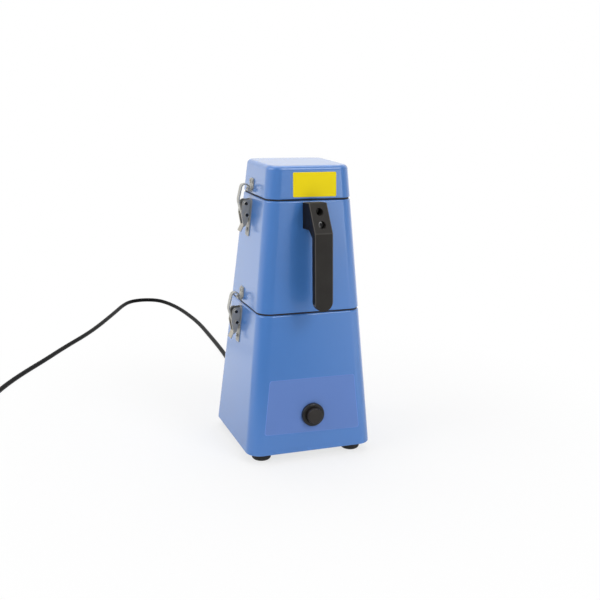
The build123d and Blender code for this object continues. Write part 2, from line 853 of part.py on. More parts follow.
def grinding_cup():
    """Stainless steel grinding chamber that hangs by its flange."""
    inner = cup_bore / 2
    outer = inner + cup_wall
    bore = carrier_nose_diameter / 2 + fit_clearance
    with BuildSketch(Plane.XZ) as profile:
        with BuildLine():
            Polyline(
                (bore, z_cup_bottom),
                (outer - cup_corner_radius, z_cup_bottom),
            )
            RadiusArc(
                (outer - cup_corner_radius, z_cup_bottom),
                (outer, z_cup_bottom + cup_corner_radius),
                -cup_corner_radius,
            )
            Polyline(
                (outer, z_cup_bottom + cup_corner_radius),
                (outer, z_cup_rim - cup_flange_thickness),
                (cup_flange_diameter / 2, z_cup_rim - cup_flange_thickness),
                (cup_flange_diameter / 2, z_cup_rim),
                (inner, z_cup_rim),
                (inner, z_cup_floor + cup_corner_radius - cup_wall),
            )
            RadiusArc(
                (inner, z_cup_floor + cup_corner_radius - cup_wall),
                (inner - cup_corner_radius + cup_wall, z_cup_floor),
                cup_corner_radius - cup_wall,
            )
            Polyline(
                (inner - cup_corner_radius + cup_wall, z_cup_floor),
                (bore, z_cup_floor),
                (bore, z_cup_bottom),
            )
        make_face()
    return revolve(profile.sketch, Axis.Z)


def bearing_carrier():
    """Flanged tube under the cup; it holds both bearings and the shaft seal."""
    nose_top = z_cup_floor + carrier_nose_height
    body = rod(carrier_nose_diameter, z_cup_bottom - 1, nose_top)
    body += rod(carrier_flange_diameter, z_carrier_flange, z_cup_bottom)
    body += rod(carrier_tube_diameter, z_carrier_bottom, z_carrier_flange + 1)
    body -= rod(bearing_diameter + 2 * fit_clearance, z_carrier_bottom - 1, z_carrier_flange)
    body -= rod(shaft_diameter + 4, z_carrier_flange - 1, z_cup_bottom)
    body -= rod(seal_diameter + 2 * fit_clearance, nose_top - seal_thickness, nose_top + 1)
    return body


def shaft_bearings():
    low = bearing(z_carrier_bottom + 1)
    high = bearing(z_carrier_flange - bearing_width)
    spacer_low = z_carrier_bottom + 1 + bearing_width
    spacer_high = z_carrier_flange - bearing_width
    spacer = tube(bearing_diameter, bearing_diameter - 5, spacer_low, spacer_high)
    return group([low, spacer, high])


def shaft_seal():
    """Lip seal in the carrier's nose."""
    low = z_cup_floor + carrier_nose_height - seal_thickness
    lip = shaft_diameter / 2 + running_clearance
    outer = seal_diameter / 2
    points = [
        (lip, low + 3.0),
        (outer - 2, low),
        (outer, low),
        (outer, low + seal_thickness - 0.5),
        (outer - 2, low + seal_thickness - 0.5),
        (lip, low + 4.2),
    ]
    return turned(points)


def blade_shaft():
    seal_top = z_cup_floor + carrier_nose_height
    shaft = rod(shaft_diameter, z_driven_socket + 1, z_blade_top + nut_height - 1)
    shaft += rod(blade_collar_diameter, seal_top + 0.5, z_blade)
    return chamfer(shaft.edges().group_by(Axis.Z)[-1], 0.8)


def beater_blade():
    """Two-armed beater with ground leading edges."""
    reach = blade_length / 2
    hub = Circle(blade_hub_diameter / 2)
    arm = make_face(
        Polyline(
            (0, -blade_width / 2),
            (reach * 0.45, -blade_width / 2),
            (reach, -blade_tip_width / 2 - 2),
            (reach - 3, blade_tip_width / 2),
            (reach * 0.4, blade_width / 2),
            (0, blade_width / 2),
            close=True,
        )
    )
    plan = hub + arm + Rot(0, 0, 180) * arm
    plate = extrude(Plane.XY.offset(z_blade) * plan, amount=blade_thickness)
    bevel = Plane.YZ * make_face(
        Polyline(
            (-blade_width / 2 - 1, 0.6),
            (-blade_width / 2 + blade_edge_width, blade_thickness + 0.1),
            (-blade_width / 2 - 1, blade_thickness + 0.1),
            close=True,
        )
    )
    cutter = Pos(blade_hub_diameter / 2 + 1, 0, z_blade) * extrude(bevel, amount=reach)
    for turn in (0, 180):
        plate -= Rot(0, 0, turn) * cutter
    return plate - rod(shaft_diameter + 2 * fit_clearance, z_blade - 1, z_blade_top + 1)


def blade_nut():
    """Domed nut that clamps the beater to its shaft."""
    hexagon = RegularPolygon(nut_across_flats / 2, 6, major_radius=False)
    body = extrude(Plane.XY.offset(z_blade_top) * hexagon, amount=nut_height + 1)
    body &= Pos(0, 0, z_blade_top + nut_height - nut_dome_radius + 2) * Sphere(nut_dome_radius + 1) + rod(
        nut_across_flats, z_blade_top, z_blade_top + 4
    )
    return body - rod(shaft_diameter + 2 * fit_clearance, z_blade_top - 1, z_blade_top + nut_height - 0.8)


# ---- Lid ----
def lid_shell():
    body = casing_block(z_lid_bottom, z_top)
    body = fillet(body.edges().group_by(Axis.Z)[-1], lid_edge_radius)
    body = fillet(body.edges().group_by(Axis.Z)[0], casing_edge_radius)
    ceiling = z_top - lid_top_thickness
    body -= casing_block(z_lid_bottom, ceiling, casing_wall, casing_wall)
    floor = z_liner_rim - liner_spigot_depth + liner_thickness
    body += rod(lid_boss_diameter, floor, ceiling + 1)
    body -= rod(screw_diameter + 2 * screw_clearance, floor - 1, ceiling - 6)
    for side in (-1, 1):
        spread = (-keeper_screw_spacing / 2, keeper_screw_spacing / 2)
        body -= latch_holes(z_lid_joint, side, (keeper_screw_rise,), spread, 4 * casing_wall)
    return body


def lid_liner():
    """Dished stainless steel liner; its centre dips into the cup."""
    rim = z_liner_rim
    dish = rim - liner_spigot_depth
    spigot = liner_spigot_diameter / 2
    hole = screw_diameter / 2 + screw_clearance
    points = [
        (hole, dish),
        (spigot - 3, dish),
        (spigot, dish + 3),
        (spigot, rim),
        (liner_diameter / 2, rim),
        (liner_diameter / 2, rim + liner_thickness),
        (spigot - liner_thickness, rim + liner_thickness),
        (spigot - liner_thickness, dish + 3.6),
        (spigot - 3.6, dish + liner_thickness),
        (hole, dish + liner_thickness),
    ]
    return turned(points)


def lid_seal():
    """The ring that seals the cup, and the gasket under the lid's wall."""
    ring = tube(lid_seal_outer, lid_seal_inner, z_liner_rim - lid_seal_thickness, z_liner_rim)
    return group([ring, joint_gasket(z_chamber_top + moving_gap, casing_wall)])


# ---- Handle ----
def handle():
    """Moulded grip on a sloping block, cut for two cap screws; x of its side view is outward."""
    inner = handle_reach - handle_grip_thickness
    with BuildSketch() as side:
        with BuildLine():
            Polyline(
                (0, 0),
                (handle_top_reach, 0),
                (handle_reach, -handle_slope_length),
                (handle_reach, -handle_length),
                (inner, -handle_length),
                (inner, -handle_slope_length - 6),
                (inner - 11, -handle_block_height),
                (0, -handle_block_height),
                close=True,
            )
        make_face()
    profile = side.sketch
    frame = front_frame(z_chamber_top)
    turned_frame = Plane(origin=frame.origin, x_dir=frame.z_dir, z_dir=(-1, 0, 0))
    bar = extrude(turned_frame * (Pos(0, -handle_drop) * profile), amount=handle_width / 2, both=True)
    end = handle_length + handle_drop - handle_width / 2
    keep = Rectangle(handle_width, end, align=(Align.CENTER, Align.MAX))
    keep += Pos(0, -end) * Circle(handle_width / 2)
    bar &= frame * extrude(keep, amount=2 * handle_reach)
    bar = fillet(bar.edges().filter_by(lambda e: e.length > handle_width / 3), handle_edge_radius)
    for drop in handle_screw_places:
        place = Pos(0, -handle_drop - drop, 0)
        hole = Cylinder(handle_screw_diameter / 2 + screw_clearance, 2 * handle_reach)
        bar -= frame * (place * hole)
        seat = Cylinder(
            handle_screw_head / 2 + 0.4, 2 * handle_reach, align=(Align.CENTER, Align.CENTER, Align.MIN)
        )
        bar -= frame * (place * Pos(0, 0, handle_screw_seat) * seat)
    return bar


def handle_screws():
    frame = front_frame(z_chamber_top)
    head = Cylinder(
        handle_screw_head / 2, handle_screw_head_height, align=(Align.CENTER, Align.CENTER, Align.MIN)
    )
    head = chamfer(head.edges().group_by(Axis.Z)[-1], 0.5)
    socket = extrude(RegularPolygon(hex_key_width / 2, 6, major_radius=False), amount=3)
    head -= Pos(0, 0, handle_screw_head_height - 2.5) * socket
    shank = Cylinder(
        handle_screw_diameter / 2,
        handle_screw_seat + wall_normal + 6,
        align=(Align.CENTER, Align.CENTER, Align.MAX),
    )
    nut = extrude(RegularPolygon(4.0, 6, major_radius=False), amount=-4.0)
    screw = Pos(0, 0, handle_screw_seat) * (head + shank) + Pos(0, 0, -wall_normal) * nut
    places = [Pos(0, -handle_drop - drop, 0) for drop in handle_screw_places]
    return group(frame * (place * screw) for place in places)


# ---- Latches: shapes in the side frame, with x as u, z as v and the pivots along y ----
def latch_base():
    """A sheet screwed to the wall, with two ears for the lever's pivot."""
    low = -pivot_drop - latch_base_length
    high = -pivot_drop + latch_base_rise
    sheet = block(0, latch_sheet, -latch_base_width / 2, latch_base_width / 2, low, high)
    base = fillet(sheet.edges().filter_by(Axis.X), 3.0)
    ear = Pos(pivot_reach, -pivot_drop) * Circle(ear_radius)
    ear += make_face(
        Polyline(
            (0, high),
            (pivot_reach, -pivot_drop + ear_radius),
            (pivot_reach + ear_radius * 0.5, -pivot_drop - ear_radius * 0.86),
            (0, -pivot_drop - latch_base_rise - 12),
            close=True,
        )
    )
    ear -= Pos(pivot_reach, -pivot_drop) * Circle(rivet_diameter / 2 + fit_clearance)
    for side in (-1, 1):
        base += Pos(0, side * (ear_spacing - latch_sheet) / 2, 0) * across(ear, latch_sheet)
    for v in latch_screw_places:
        hole = Rot(0, 90, 0) * Cylinder(latch_screw_diameter / 2 + screw_clearance, 8)
        base -= Pos(0, 0, -pivot_drop + v) * hole
    return base


def rivet(u, v):
    """Tubular rivet across a lever; its heads stand just outside both cheeks."""
    half = lever_spacing / 2 + moving_gap
    head = Cylinder(
        rivet_head_diameter / 2, rivet_head_height, align=(Align.CENTER, Align.CENTER, Align.MIN)
    )
    head = Pos(0, 0, half) * chamfer(head.edges().group_by(Axis.Z)[-1], 0.3)
    body = Cylinder(rivet_diameter / 2, 2 * half) + head + mirror(head, about=Plane.XY)
    body -= Cylinder(rivet_bore / 2, 2 * (half + rivet_head_height))
    return Pos(u, 0, v) * Rot(90, 0, 0) * body


def latch_pin():
    """Rivet on which the lever turns."""
    return rivet(pivot_reach, -pivot_drop)


def latch_lever():
    """Channel-shaped lever, slotted for the claw, with a flared finger tab."""
    eye = Circle(lever_eye_radius)
    outer = lever_eye_radius + 0.2
    shoulder = (outer, -lever_shoulder_drop)
    waist = (outer - lever_taper, -lever_waist_drop)
    tab = (waist[0] + lever_tab_flare, -lever_tab_drop)
    cheek = eye + make_face(
        Polyline(
            (-lever_eye_radius, 0),
            (-claw_pivot_inset - 3, -claw_pivot_drop),
            (waist[0] - lever_taper, -lever_waist_drop + 2),
            (waist[0] - 1.5, -lever_cheek_length),
            (waist[0], -lever_cheek_length),
            waist,
            shoulder,
            (outer, 0),
            close=True,
        )
    )
    rivet_hole = Circle(rivet_diameter / 2 + running_clearance)
    cheek -= rivet_hole
    cheek -= Pos(-claw_pivot_inset, -claw_pivot_drop) * rivet_hole
    line = FilletPolyline(
        *[(u - latch_sheet / 2, v) for u, v in ((outer, shoulder[1] + 3), shoulder, waist, tab)],
        radius=3.0,
    )
    lever = across(trace(line, latch_sheet), lever_spacing)
    slot_half = claw_width / 2 + moving_gap
    slot = block(0, 2 * outer, -slot_half, slot_half, -lever_slot_length, 0)
    lever -= fillet(slot.edges().filter_by(Axis.X), 1.0)
    for side in (-1, 1):
        lever += Pos(0, side * (lever_spacing - latch_sheet) / 2, 0) * across(cheek, latch_sheet)
    return Pos(pivot_reach, 0, -pivot_drop) * lever


def latch_claw():
    """Strap from its rivet out round the lever's pivot, with a crook that drops behind the keeper's lip."""
    neck = claw_neck_out
    tip = neck - claw_crook
    root = -claw_pivot_inset
    line = FilletPolyline(
        (root + (rivet_diameter + claw_sheet) / 2, -claw_pivot_drop),
        (claw_root, -claw_pivot_drop),
        (claw_bulge_out, claw_bulge_rise),
        (neck, claw_height),
        (tip, claw_height),
        (tip, claw_tip),
        radius=[claw_sheet * 1.6, claw_bulge_radius, claw_crook * 0.49, claw_crook * 0.49],
    )
    knuckle = Circle(rivet_diameter / 2 + claw_sheet) - Circle(rivet_diameter / 2 - 0.1)
    strap = trace(line, claw_sheet) + Pos(root, -claw_pivot_drop) * knuckle
    claw = across(strap, claw_width) + rivet(root, -claw_pivot_drop)
    return Pos(pivot_reach, 0, -pivot_drop) * claw


def latch_keeper():
    """Keeper plate whose tongue curls out and up in front of the claw's tip."""
    tip_face = pivot_reach + claw_neck_out - claw_crook + claw_sheet / 2
    lip = tip_face + moving_gap + keeper_sheet / 2
    low = claw_tip - pivot_drop - keeper_curl_radius
    line = FilletPolyline(
        (keeper_sheet / 2, keeper_low + 2),
        (keeper_sheet / 2, low),
        (lip, low),
        (lip, low + keeper_lip),
        radius=keeper_curl_radius,
    )
    outline_points = [
        (side * width / 2, v)
        for side, width, v in (
            (-1, keeper_hook_width, keeper_low),
            (-1, keeper_width, keeper_low + 3),
            (-1, keeper_top_width, keeper_high),
            (1, keeper_top_width, keeper_high),
            (1, keeper_width, keeper_low + 3),
            (1, keeper_hook_width, keeper_low),
        )
    ]
    plate = extrude(Plane.YZ * make_face(Polyline(outline_points, close=True)), amount=keeper_sheet)
    plate = fillet(plate.edges().filter_by(Axis.X), 1.5)
    keeper = plate + across(trace(line, keeper_sheet), keeper_hook_width)
    for side in (-1, 1):
        hole = Rot(0, 90, 0) * Cylinder(latch_screw_diameter / 2 + screw_clearance, 8)
        keeper -= Pos(0, side * keeper_screw_spacing / 2, keeper_screw_rise) * hole
    return keeper


def side_screws(z_latch, z_keeper):
    """The screws of a body's latch bases and keepers; either height may be None."""
    screws = []
    for side in (-1, 1):
        if z_latch is not None:
            for v in latch_screw_places:
                place = Pos(0, 0, -pivot_drop + v)
                screws.append(side_frame(z_latch, side) * (place * latch_screw(latch_sheet)))
        if z_keeper is not None:
            for y in (-keeper_screw_spacing / 2, keeper_screw_spacing / 2):
                place = Pos(0, y, keeper_screw_rise)
                screws.append(side_frame(z_keeper, side) * (place * latch_screw(keeper_sheet)))
    return screws


def lid_screws():
    liner_floor = z_liner_rim - liner_spigot_depth
    centre = Pos(0, 0, liner_floor) * (Rot(180, 0, 0) * pan_screw(lid_screw_length))
    return group([centre] + side_screws(None, z_lid_joint))


# ---- Cord ----
def strain_relief():
    """Moulded sleeve that the cord leaves by, low on the back."""
    base = Cylinder(
        relief_flange_diameter / 2, relief_flange_thickness, align=(Align.CENTER, Align.CENTER, Align.MIN)
    )
    base = fillet(base.edges().group_by(Axis.Z)[-1], 1.0)
    sleeve = Cone(
        relief_root_diameter / 2,
        relief_tip_diameter / 2,
        relief_length - relief_flange_thickness,
        align=(Align.CENTER, Align.CENTER, Align.MIN),
    )
    body = base + Pos(0, 0, relief_flange_thickness) * sleeve
    shank = Cylinder(
        relief_shank_diameter / 2, relief_shank_length, align=(Align.CENTER, Align.CENTER, Align.MAX)
    )
    body += shank
    body -= Pos(0, 0, relief_length - 10) * Cylinder(
        cord_diameter / 2, 20, align=(Align.CENTER, Align.CENTER, Align.MIN)
    )
    return back_frame(cord_exit_height) * body


floor_height = cord_diameter / 2
relief_seat = back_frame(cord_exit_height)
cord_start = relief_seat.origin + relief_seat.z_dir * (relief_length - 10)
coil_entry = Vector(-392, 195, floor_height)
cord_points = [
    cord_start,
    cord_start + relief_seat.z_dir * cord_first_run,
    Vector(1, 172, 27),
    Vector(3, 222, floor_height),
    Vector(4, 300, floor_height),
    Vector(11, 388, floor_height),
    Vector(14, 484, floor_height),
    Vector(16, 580, floor_height),
    Vector(9, 662, floor_height),
    Vector(2, 708, floor_height),
    Vector(-10, 750, floor_height),
    Vector(-25, 777, floor_height),
    Vector(-53, 788, floor_height),
    Vector(-82, 780, floor_height),
    Vector(-103, 750, floor_height),
    Vector(-124, 706, floor_height),
    Vector(-152, 650, floor_height),
    Vector(-178, 600, floor_height),
    Vector(-206, 552, floor_height),
    Vector(-250, 487, floor_height),
    Vector(-290, 422, floor_height),
    Vector(-327, 366, floor_height),
    Vector(-355, 318, floor_height),
    Vector(-376, 275, floor_height),
    Vector(-392, 235, floor_height),
    coil_entry,
]


def arc_radii(points):
    """Each arc takes 0.45 of the shorter of its two runs."""
    radii = []
    for before, corner, after in zip(points, points[1:], points[2:]):
        turn = math.radians((corner - before).get_angle(after - corner))
        run = min((corner - before).length, (after - corner).length)
        radii.append(0.45 * run / math.tan(turn / 2))
    return radii


def round_sweep(path):
    start = Plane(origin=path @ 0, z_dir=path % 0)
    return sweep(start * Circle(cord_diameter / 2), path=path)


def power_cord():
    """The flex from the strain relief, over the table to the coil."""
    radii = arc_radii(cord_points)
    path = FilletPolyline(*cord_points, radius=radii)
    cord = round_sweep(path)
    fill = cord.volume / (math.pi * cord_diameter**2 / 4 * path.length)
    print("cord radii", [round(r) for r in radii])
    print("cord length", round(path.length), "volume over section x length", fill)
    return cord


def coil_path():
    """Clockwise turns: in on the lower layer, up a layer in half a turn, and out again."""
    x, y, z = coil_entry.X, coil_entry.Y, coil_entry.Z
    lead = y - cord_diameter
    edges = [Line((x, y, z), (x, lead, z))]
    centre_y = lead
    at = x
    radius = coil_radius
    heading = -1
    for i in range(2 * coil_layer_turns):
        radius -= coil_pitch / 2 if i else 0
        far = at - 2 * radius if heading < 0 else at + 2 * radius
        edges.append(TangentArc((at, centre_y, z), (far, centre_y, z), tangent=(0, heading, 0)))
        at = far
        heading = -heading
    radius -= coil_pitch / 2
    far = at - 2 * radius if heading < 0 else at + 2 * radius
    reach = math.hypot(radius, coil_layer_rise / 2)
    middle = ((at + far) / 2, centre_y + heading * reach, z + coil_layer_rise / 2)
    edges.append(TangentArc((at, centre_y, z), middle, tangent=(0, heading, 0)))
    slope = Vector(far - at, 0, coil_layer_rise).normalized()
    z += coil_layer_rise
    edges.append(TangentArc(middle, (far, centre_y, z), tangent=slope))
    at = far
    heading = -heading
    for _ in range(2 * coil_layer_turns):
        radius += coil_pitch / 2
        far = at - 2 * radius if heading < 0 else at + 2 * radius
        edges.append(TangentArc((at, centre_y, z), (far, centre_y, z), tangent=(0, heading, 0)))
        at = far
        heading = -heading
    plug_z = plug_face_diameter / 2
    out = [
        Vector(at, centre_y, z),
        Vector(at, centre_y + coil_exit_run, z),
        Vector(at, centre_y + coil_exit_run + coil_exit_slope_length, plug_z),
        Vector(at, centre_y + 2 * coil_exit_run + coil_exit_slope_length, plug_z),
    ]
    exit_line = FilletPolyline(*out, radius=arc_radii(out))
    edges.extend(exit_line.edges())
    return Wire([edge for item in edges for edge in item.edges()]), out[-1]


def coil_gap(path):
    """The least gap between turns, measured on points along the coil."""
    steps = 720
    points = [path @ (i / steps) for i in range(steps + 1)]
    stride = path.length / steps
    apart = int(4 * cord_diameter / stride)
    gap = min(
        (points[i] - points[j]).length
        for i in range(steps + 1)
        for j in range(i + apart, steps + 1)
    )
    return gap - cord_diameter


def cord_coil():
    path, _ = coil_path()
    coil = round_sweep(path)
    print("coil length", round(path.length), "least gap", round(coil_gap(path), 2))
    return coil


def plug_frame():
    """At the end of the cord, with z along it."""
    return Plane(origin=coil_path()[1], x_dir=(0, 0, 1), z_dir=(0, 1, 0))


def mains_plug():
    """Round earthed plug with a ribbed sleeve and a waisted grip."""
    sleeve = plug_sleeve_length
    body_end = sleeve + plug_body_length
    end = body_end + plug_face_depth
    points = [
        (0, 0),
        (plug_sleeve_diameter / 2 - 1, 0),
        (plug_sleeve_diameter / 2, sleeve),
        (plug_body_diameter / 2 - 3, sleeve + 4),
        (plug_body_diameter / 2, body_end),
        (plug_face_diameter / 2 - 1, body_end + 3),
        (plug_face_diameter / 2, body_end + 5),
        (plug_face_diameter / 2, end - 1),
        (plug_face_diameter / 2 - 1, end),
        (0, end),
    ]
    body = turned(points)
    for side in (-1, 1):
        body -= Pos(0, side * pin_spacing / 2, end - pin_root) * Cylinder(
            pin_diameter / 2 + fit_clearance, 2 * pin_root, align=(Align.CENTER, Align.CENTER, Align.MIN)
        )
    return plug_frame() * body


def plug_pins():
    start = plug_sleeve_length + plug_body_length + plug_face_depth - pin_root
    pin = Cylinder(pin_diameter / 2, pin_length + pin_root, align=(Align.CENTER, Align.CENTER, Align.MIN))
    pin = fillet(pin.edges().group_by(Axis.Z)[-1], pin_diameter * 0.35)
    pins = [plug_frame() * (Pos(0, side * pin_spacing / 2, start) * pin) for side in (-1, 1)]
    return group(pins)


# ---- Assembly ----
parts = {
    "motor_housing": motor_housing(),
    "base_plate": base_plate(),
    "rubber_feet": rubber_feet(),
    "foot_screws": foot_screws(),
    "housing_gasket": joint_gasket(z_housing_top, casing_wall + spigot_clearance),
    "upper_motor_bell": upper_motor_bell(),
    "lower_motor_bell": lower_motor_bell(),
    "stator_core": stator_core(),
    "stator_windings": stator_windings(),
    "motor_bolts": motor_bolts(),
    "brush_holders": brush_holders(),
    "carbon_brushes": carbon_brushes(),
    "motor_bearings": motor_bearings(),
    "control_board": control_board(),
    "button_bezel": button_bezel(),
    "button_cap": button_cap(),
    "switch_block": switch_block(),
    "strain_relief": strain_relief(),
    "power_cord": power_cord(),
    "cord_coil": cord_coil(),
    "mains_plug": mains_plug(),
    "plug_pins": plug_pins(),
    "motor_shaft": motor_shaft(),
    "armature": armature(),
    "commutator": commutator(),
    "cooling_fan": cooling_fan(),
    "drive_coupling": drive_coupling(),
    "chamber_housing": chamber_housing(),
    "grinding_cup": grinding_cup(),
    "bearing_carrier": bearing_carrier(),
    "shaft_bearings": shaft_bearings(),
    "shaft_seal": shaft_seal(),
    "blade_shaft": blade_shaft(),
    "driven_coupling": driven_coupling(),
    "beater_blade": beater_blade(),
    "blade_nut": blade_nut(),
    "handle": handle(),
    "handle_screws": handle_screws(),
    "lid_shell": lid_shell(),
    "lid_liner": lid_liner(),
    "lid_seal": lid_seal(),
    "lid_screws": lid_screws(),
    "chamber_screws": group(side_screws(z_lid_joint, z_joint)),
    "lower_latch_screws": group(side_screws(z_joint, None)),
}
for level, height in (("upper", z_lid_joint), ("lower", z_joint)):
    for name, side in (("left", -1), ("right", 1)):
        frame = side_frame(height, side)
        parts[f"{level}_{name}_latch_base"] = frame * latch_base()
        parts[f"{level}_{name}_latch_lever"] = frame * latch_lever()
        parts[f"{level}_{name}_latch_claw"] = frame * latch_claw()
    both = [side_frame(height, side) for side in (-1, 1)]
    parts[f"{level}_latch_pins"] = group(frame * latch_pin() for frame in both)
    owner = "lid" if level == "upper" else "chamber"
    parts[f"{owner}_keepers"] = group(frame * latch_keeper() for frame in both)

os.makedirs("parts", exist_ok=True)
for name, shape in parts.items():
    export_step(shape, f"parts/{name}.step")
print(len(parts), "nodes")
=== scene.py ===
"""Batch laboratory mill: finishes, mains cord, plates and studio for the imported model."""

import math

import bmesh
import bpy
from bpy.props import FloatProperty, FloatVectorProperty, IntProperty, PointerProperty
from mathutils import Matrix, Vector
from mathutils.geometry import tessellate_polygon


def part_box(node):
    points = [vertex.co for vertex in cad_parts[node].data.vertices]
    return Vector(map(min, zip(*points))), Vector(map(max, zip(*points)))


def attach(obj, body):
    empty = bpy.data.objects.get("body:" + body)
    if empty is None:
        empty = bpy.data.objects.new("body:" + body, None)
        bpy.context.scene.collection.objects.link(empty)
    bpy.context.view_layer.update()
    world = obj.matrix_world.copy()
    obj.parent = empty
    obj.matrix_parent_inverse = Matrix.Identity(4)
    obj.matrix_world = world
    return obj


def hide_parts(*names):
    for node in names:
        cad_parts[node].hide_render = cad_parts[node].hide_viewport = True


bl_info = {
    "name": "Laboratory Mill",
    "version": (1, 0, 0),
    "blender": (4, 5, 0),
    "location": "View3D > Sidebar > Mill",
    "description": "Dresses the packed laboratory mill and sets up its studio",
    "category": "Object",
}

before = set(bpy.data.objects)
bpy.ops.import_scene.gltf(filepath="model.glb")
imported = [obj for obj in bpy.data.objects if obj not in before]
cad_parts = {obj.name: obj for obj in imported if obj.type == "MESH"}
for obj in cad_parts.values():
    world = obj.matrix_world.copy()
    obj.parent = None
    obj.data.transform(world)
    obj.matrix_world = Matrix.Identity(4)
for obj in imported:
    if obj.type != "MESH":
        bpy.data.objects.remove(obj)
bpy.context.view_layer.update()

MM = 0.001


# ---- Node trees ----
class Socket:
    """An output of a node tree; arithmetic on it adds Math nodes to the same tree."""

    def __init__(self, maker, output):
        self.maker = maker
        self.output = output

    def math(self, operation, *values):
        return self.maker.node("ShaderNodeMath", {"operation": operation}, dict(enumerate(values)))

    def __add__(self, other):
        return self.math("ADD", self, other)

    __radd__ = __add__

    def __sub__(self, other):
        return self.math("SUBTRACT", self, other)

    def __rsub__(self, other):
        return self.math("SUBTRACT", other, self)

    def __mul__(self, other):
        return self.math("MULTIPLY", self, other)

    __rmul__ = __mul__

    def __truediv__(self, other):
        return self.math("DIVIDE", self, other)

    def __rtruediv__(self, other):
        return self.math("DIVIDE", other, self)

    def sine(self):
        return self.math("SINE", self)

    def floor(self):
        return self.math("FLOOR", self)

    def root(self):
        return self.math("SQRT", self)

    def above(self, limit):
        return self.math("GREATER_THAN", self, limit)

    def ramp(self, low, high):
        """0 below low, 1 above high and smooth between them."""
        sockets = {"Value": self, "From Min": low, "From Max": high}
        return self.maker.node("ShaderNodeMapRange", {"interpolation_type": "SMOOTHSTEP"}, sockets)


class Maker:
    """Adds nodes to one tree, a material's or a Geometry Nodes group's."""

    def __init__(self, tree):
        self.tree = tree

    def node(self, kind, settings=None, sockets=None, output=0):
        """Adds a node with its settings and its inputs, linked or plain, and gives one output."""
        made = self.tree.nodes.new(kind)
        for name, value in (settings or {}).items():
            setattr(made, name, value)
        for name, value in (sockets or {}).items():
            if isinstance(value, Socket):
                self.tree.links.new(value.output, made.inputs[name])
            else:
                made.inputs[name].default_value = value
        return Socket(self, made.outputs[output]) if made.outputs else None

    def split(self, vector):
        """The x, y and z of a vector."""
        parts = self.node("ShaderNodeSeparateXYZ", None, {"Vector": vector})
        return [Socket(self, output) for output in parts.output.node.outputs]

    def join(self, x, y, z):
        return self.node("ShaderNodeCombineXYZ", None, {"X": x, "Y": y, "Z": z})


class Finish(Maker):
    """A procedural material on Object coordinates."""

    def __init__(self, name):
        self.material = bpy.data.materials.new(name)
        self.material.use_nodes = True
        super().__init__(self.material.node_tree)
        self.tree.nodes.clear()
        self.place = self.node("ShaderNodeTexCoord", None, None, "Object")

    def noise(self, scale, detail=2.0, stretch=(1.0, 1.0, 1.0), place=None):
        """Noise with features of about 1 / scale metres, drawn out where stretch is small."""
        place = place or self.place
        if stretch != (1.0, 1.0, 1.0):
            place = self.node("ShaderNodeMapping", None, {"Vector": place, "Scale": stretch})
        sockets = {"Vector": place, "Scale": scale, "Detail": detail}
        return self.node("ShaderNodeTexNoise", None, sockets)

    def cells(self, scale):
        return self.node("ShaderNodeTexVoronoi", None, {"Vector": self.place, "Scale": scale})

    def blend(self, share, first, second):
        sockets = {0: share, 6: colour(first), 7: colour(second)}
        return self.node("ShaderNodeMix", {"data_type": "RGBA"}, sockets, 2)

    def turned(self, density):
        """Fine rings about the Z axis, as a lathe or a polishing wheel leaves."""
        x, y, z = self.split(self.place)
        radius = (x * x + y * y).root()
        rings = self.join(radius * density + x * 3.0, z * density, y * 3.0)
        return self.noise(1.0, 2.0, place=rings)

    def surface(self, base, roughness, height=None, depth=0.0, **constants):
        sockets = {"Base Color": base, "Roughness": roughness, **constants}
        if height is not None:
            bump = {"Height": height, "Distance": depth, "Strength": 1.0}
            sockets["Normal"] = self.node("ShaderNodeBump", None, bump)
        shader = self.node("ShaderNodeBsdfPrincipled", None, sockets)
        self.node("ShaderNodeOutputMaterial", None, {"Surface": shader})
        return self.material


def colour(value):
    """A colour socket takes four numbers."""
    return value if isinstance(value, Socket) else (*value[:3], 1.0)


def shade(value, factor):
    return tuple(channel * factor for channel in value[:3])


# ---- Materials ----
def casing_enamel(paint):
    m = Finish("casing_enamel")
    cloud = m.noise(11.0, 3.0)
    peel = m.noise(430.0, 2.0)
    speck = m.noise(2600.0, 1.0)
    base = m.blend(cloud, shade(paint.tint, 0.95), shade(paint.tint, 1.05))
    roughness = paint.roughness - 0.06 + cloud * 0.08 + speck * 0.04
    height = peel * 0.7 + speck * 0.3
    return m.surface(
        base,
        roughness,
        height,
        paint.peel_depth,
        **{"Coat Weight": 1.0, "Coat Roughness": 0.17, "Specular IOR Level": 0.55},
    )


def bright_zinc(name, rivets, dull, light):
    """Passivated zinc plate, with painted shade darkening the mouths of the hollow rivets.

    rivets holds (x, z) of each rivet's axis on the right side, and the left side mirrors them.
    """
    painted_shade_radius = 0.0021
    m = Finish(name)
    x, _, z = m.split(m.place)
    patch = m.noise(160.0, 4.0)
    fine = m.noise(1500.0, 3.0, (1.0, 1.0, 0.12))
    base = m.blend(patch, dull, light)
    for across, up in rivets:
        out, rise = (x * x).root() - across, z - up
        # Each rivet's mouth gets a near-black disc of painted shade, where the hollow would be
        # shaded.
        rim = (out * out + rise * rise).above(painted_shade_radius**2)
        base = m.blend(rim, (0.010, 0.010, 0.011), base)
    return m.surface(base, 0.3 + patch * 0.16 + fine * 0.1, fine, 0.00003, Metallic=0.35)


def stainless(name, density, tone=1.0):
    m = Finish(name)
    rings = m.turned(density)
    patch = m.noise(60.0, 3.0)
    base = m.blend(patch, shade((0.60, 0.61, 0.62), tone), shade((0.70, 0.70, 0.70), tone))
    return m.surface(base, 0.2 + rings * 0.16 + patch * 0.06, rings, 0.00004, Metallic=1.0)


def sheet_zinc():
    m = Finish("sheet_zinc")
    spangle = m.cells(170.0)
    grain = m.noise(700.0, 3.0, (0.08, 1.0, 1.0))
    base = m.blend(spangle, (0.50, 0.52, 0.54), (0.66, 0.67, 0.69))
    return m.surface(base, 0.3 + grain * 0.2, grain, 0.00003, Metallic=1.0)


